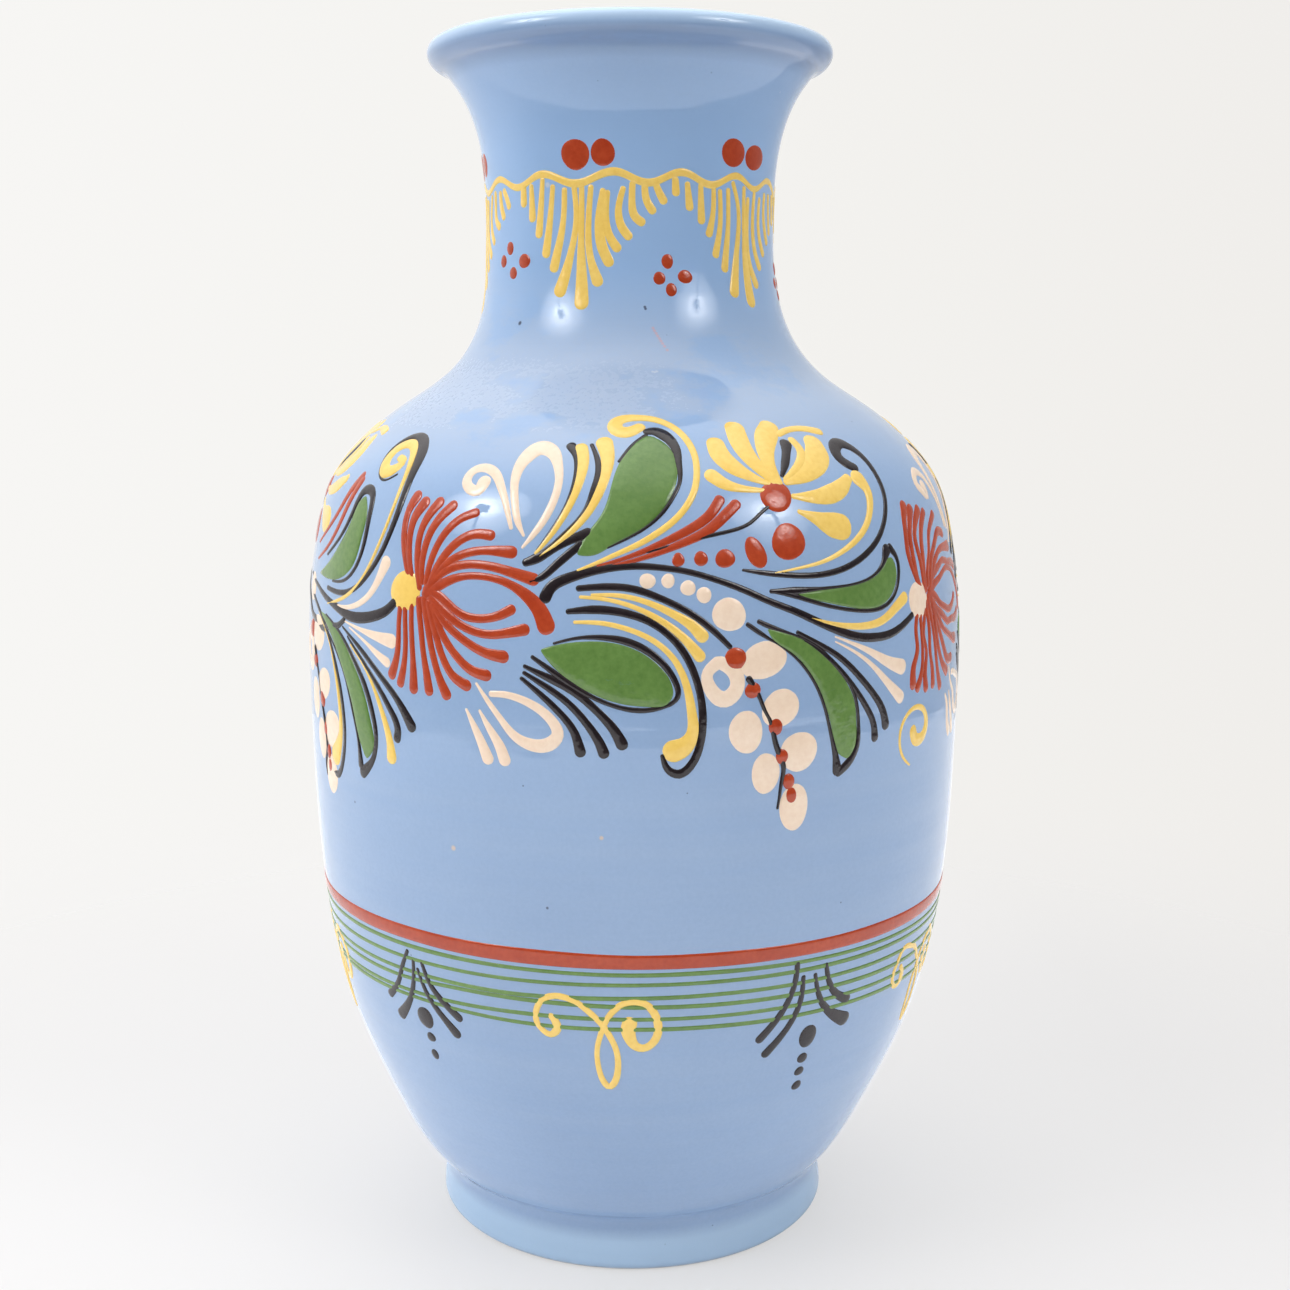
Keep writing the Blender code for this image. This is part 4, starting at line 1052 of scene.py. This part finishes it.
def slip_colour(name, main, light, dark, worn=0.0):
    """Glazed slip: mottled main colour, a darker grain, thin spots, and small pits."""
    g = Graph(name)
    tone = g.mix(g.spread(g.noise(g.place, 70, 5), 0.35, 0.68), rgb(*main), rgb(*light))
    tone = g.mix(g.spread(g.noise(g.place, 650, 3), 0.35, 0.75, 0, 0.5), tone, rgb(*dark))
    tone = g.mix(g.specks(260, 0.07, 0.08), tone, rgb(*dark), 0.5)
    if worn:
        thin = g.spread(g.noise(g.stretched(60, 60, 160), 1.0, 6, 0.7), 0.62, 0.78, 0, worn)
        tone = g.mix(thin, tone, rgb(122, 160, 206))
    rough = g.spread(g.noise(g.place, 120, 4), 0.3, 0.7, 0.07, 0.14)
    height = g.sums("ADD", g.noise(g.place, 160, 3), g.sums("MULTIPLY", g.noise(g.place, 900, 2), 0.15))
    return g.finish(tone, rough, height, 0.22 * MM)


SLIPS = {  # main, light and dark tone, then how much of the blue shows through where it is thin
    "rust": ((178, 66, 36), (190, 78, 46), (158, 54, 30)),
    "green": ((100, 134, 68), (114, 149, 80), (76, 112, 54), 0.35),
    "yellow": ((251, 211, 108), (253, 217, 122), (238, 193, 90)),
    "cream": ((249, 224, 199), (252, 230, 208), (238, 208, 182)),
    "black": ((36, 30, 33), (48, 40, 42), (26, 20, 24)),
}


# Floor, light and camera

PAPER_RADIUS = 0.80
PAPER_FADE = (0.16, 0.62)  # from this far to this far from the vase, the paper melts into the background
PAPER_BY_SIDE = ((-0.35, rgb(247, 246, 244)), (0.0, rgb(244, 243, 240)), (0.35, rgb(240, 238, 235)))
# The paper and its glow as the lens sees them, and as the glaze and the room see them
PAPER_SEEN, PAPER_LIT = rgb(143, 142, 143), rgb(240, 240, 241)
GLOW = rgb(255, 254, 252)
GLOW_SEEN, GLOW_LIT = 0.475, 0.05
GLOW_IN_FRONT, FRONT = 0.1, (0.1, -0.3)  # added from the first Y, in full at the second
SHADE_AT_RIGHT, RIGHT = 0.05, (0.05, 0.2)  # taken off from the first X, in full at the second
# Brightness of the surroundings from front (-1) to back (1), added from below (-1) to above (1), and
# multiplied from left (-1) to right (1)
ROOM_BY_DEPTH = ((-1.0, 0.02), (-0.55, 0.04), (-0.15, 0.38), (0.2, 0.85), (1.0, 0.95))
ROOM_BY_HEIGHT = ((-1.0, 0.0), (0.1, 0.0), (0.45, 0.2), (0.8, 0.8), (0.93, 1.6), (1.0, 1.9))
ROOM_BY_SIDE = ((-1.0, 1.05), (-0.4, 1.05), (0.3, 0.8), (1.0, 0.3))

UMBRELLAS = (("left_umbrella", -58, 33, 14.5), ("right_umbrella", 53, 33, 12))  # azimuth, elevation, watts
UMBRELLA_WIDTH = 1.1
UMBRELLA_AWAY = 1.35
UMBRELLA_AIM = (0, 0, 0.2)
# Brightness by distance from the centre, in parts of the width
UMBRELLA_FALLOFF = ((0.0, 4.8), (0.08, 3.8), (0.16, 1.6), (0.29, 0.75), (0.33, 0.5), (0.35, 0.0))
HEAD_HALF, STAND_HALF = 0.05, 0.012  # the flash head and its stand, in parts of the width

EYE = (0, -0.53396, 0.26575)
TILT_DOWN = 9.34  # degrees
LENS, SENSOR = 47.97, 36  # millimetres
SHIFT = (0.0093, 0.0008)


def floor():
    bm = bmesh.new()
    bmesh.ops.create_circle(bm, cap_ends=True, cap_tris=True, segments=96, radius=PAPER_RADIUS)
    mesh = bpy.data.meshes.new("floor")
    bm.to_mesh(mesh)
    bm.free()
    paper = link("floor", mesh)
    g = Graph("paper")
    mesh.materials.append(g.material)
    from_lens = g.add("ShaderNodeLightPath").outputs["Is Camera Ray"]
    here = g.add("ShaderNodeSeparateXYZ", {"Vector": g.place}).outputs
    seen_glow = g.sums("ADD", g.spread(here["Y"], *FRONT, GLOW_SEEN, GLOW_SEEN + GLOW_IN_FRONT),
                       g.spread(here["X"], *RIGHT, 0.0, -SHADE_AT_RIGHT))
    look = {"Base Color": g.mix(from_lens, PAPER_LIT, PAPER_SEEN), "Roughness": 0.6, "Emission Color": GLOW,
            "Emission Strength": g.spread(from_lens, 0.0, 1.0, GLOW_LIT, seen_glow)}
    for name, value in look.items():
        g.plug(value, g.shader.inputs[name])
    distance = g.vectors("LENGTH", g.place)["Value"]
    start, end = PAPER_FADE
    fade = g.add("ShaderNodeMapRange", {"Value": distance, "From Min": start, "From Max": end},
                 interpolation_type="SMOOTHERSTEP").outputs["Result"]
    clear = g.add("ShaderNodeBsdfTransparent").outputs["BSDF"]
    hidden = g.sums("MULTIPLY", fade, from_lens)
    blend = g.add("ShaderNodeMixShader", {0: hidden, 1: g.shader.outputs["BSDF"], 2: clear})
    output = next(node for node in g.tree.nodes if node.type == "OUTPUT_MATERIAL")
    g.plug(blend.outputs["Shader"], output.inputs["Surface"])


def world():
    """Bright white surroundings behind, beside and above the vase, and a dimmer room in front of it."""
    made = bpy.data.worlds.new("studio")
    bpy.context.scene.world = made
    made.use_nodes = True
    made.node_tree.nodes.clear()
    n = Nodes(made.node_tree)
    split = n.add("ShaderNodeSeparateXYZ", {0: n.add("ShaderNodeTexCoord").outputs["Generated"]}).outputs
    around, above = n.ramp(split["Y"], ROOM_BY_DEPTH, -1.0), n.ramp(split["Z"], ROOM_BY_HEIGHT, -1.0)
    both = n.vectors("ADD", around, above)[0]
    sided = n.vectors("MULTIPLY", both, n.ramp(split["X"], ROOM_BY_SIDE, -1.0))[0]
    room = n.add("ShaderNodeBackground", {0: sided}).outputs[0]
    seen = n.add("ShaderNodeBackground", {0: n.ramp(split["X"], PAPER_BY_SIDE, -1.0)}).outputs[0]
    from_lens = n.add("ShaderNodeLightPath").outputs["Is Camera Ray"]
    pick = n.add("ShaderNodeMixShader", {0: from_lens, 1: room, 2: seen}).outputs[0]
    n.add("ShaderNodeOutputWorld", {0: pick})


def umbrella(name, azimuth, elevation, power):
    """A white umbrella aimed at the vase: bright in its middle, behind a dark flash head."""
    lamp = bpy.data.lights.new(name, "AREA")
    lamp.shape = "SQUARE"
    lamp.size = UMBRELLA_WIDTH
    lamp.energy = power
    lamp.use_nodes = True
    n = Nodes(lamp.node_tree)
    spot = n.vectors("SUBTRACT", n.add("ShaderNodeNewGeometry").outputs["Parametric"], (0.5, 0.5, 0.0))[0]
    parts = n.add("ShaderNodeSeparateXYZ", {0: spot}).outputs
    across, up = parts["X"], parts["Y"]
    reach = n.sums("SQRT", n.sums("ADD", n.sums("MULTIPLY", across, across), n.sums("MULTIPLY", up, up)))
    head = [n.sums("COMPARE", way, 0.0, HEAD_HALF) for way in (across, up)]
    stand = n.sums("MULTIPLY", n.sums("COMPARE", across, 0.0, STAND_HALF), n.sums("LESS_THAN", up, 0.0))
    uncovered = n.sums("SUBTRACT", 1.0, n.sums("MAXIMUM", n.sums("MULTIPLY", *head), stand))
    glow = next(node for node in n.tree.nodes if node.type == "EMISSION")
    n.plug(n.vectors("MULTIPLY", n.ramp(reach, UMBRELLA_FALLOFF), uncovered)[0], glow.inputs["Color"])
    a, e = math.radians(azimuth), math.radians(elevation)
    back = Vector((math.sin(a) * math.cos(e), -math.cos(a) * math.cos(e), math.sin(e)))
    holder = link(name, lamp)
    holder.location = Vector(UMBRELLA_AIM) + back * UMBRELLA_AWAY
    holder.rotation_euler = (-back).to_track_quat("-Z", "Y").to_euler()
    holder.visible_camera = False


def camera():
    lens = bpy.data.cameras.new("camera")
    lens.lens, lens.sensor_width = LENS, SENSOR
    lens.shift_x, lens.shift_y = SHIFT
    lens.clip_start = 0.01
    holder = link("camera", lens)
    holder.location = EYE
    holder.rotation_euler = (math.radians(90 - TILT_DOWN), 0, 0)
    bpy.context.scene.camera = holder


def build():
    glaze = blue_glaze()
    looks = {colour: slip_colour(f"{colour}_slip", *tones) for colour, tones in SLIPS.items()}
    vase_wall(glaze)
    vase_foot(glaze)
    vase_rim(glaze)
    lower_band(looks)
    neck_slip(looks)
    for number in range(1, len(FRIEZE_PLACES) + 1):
        frieze_unit(number, looks)
    floor()
    world()
    for each in UMBRELLAS:
        umbrella(*each)
    camera()
    bpy.context.scene.view_settings.view_transform = "Standard"


build()
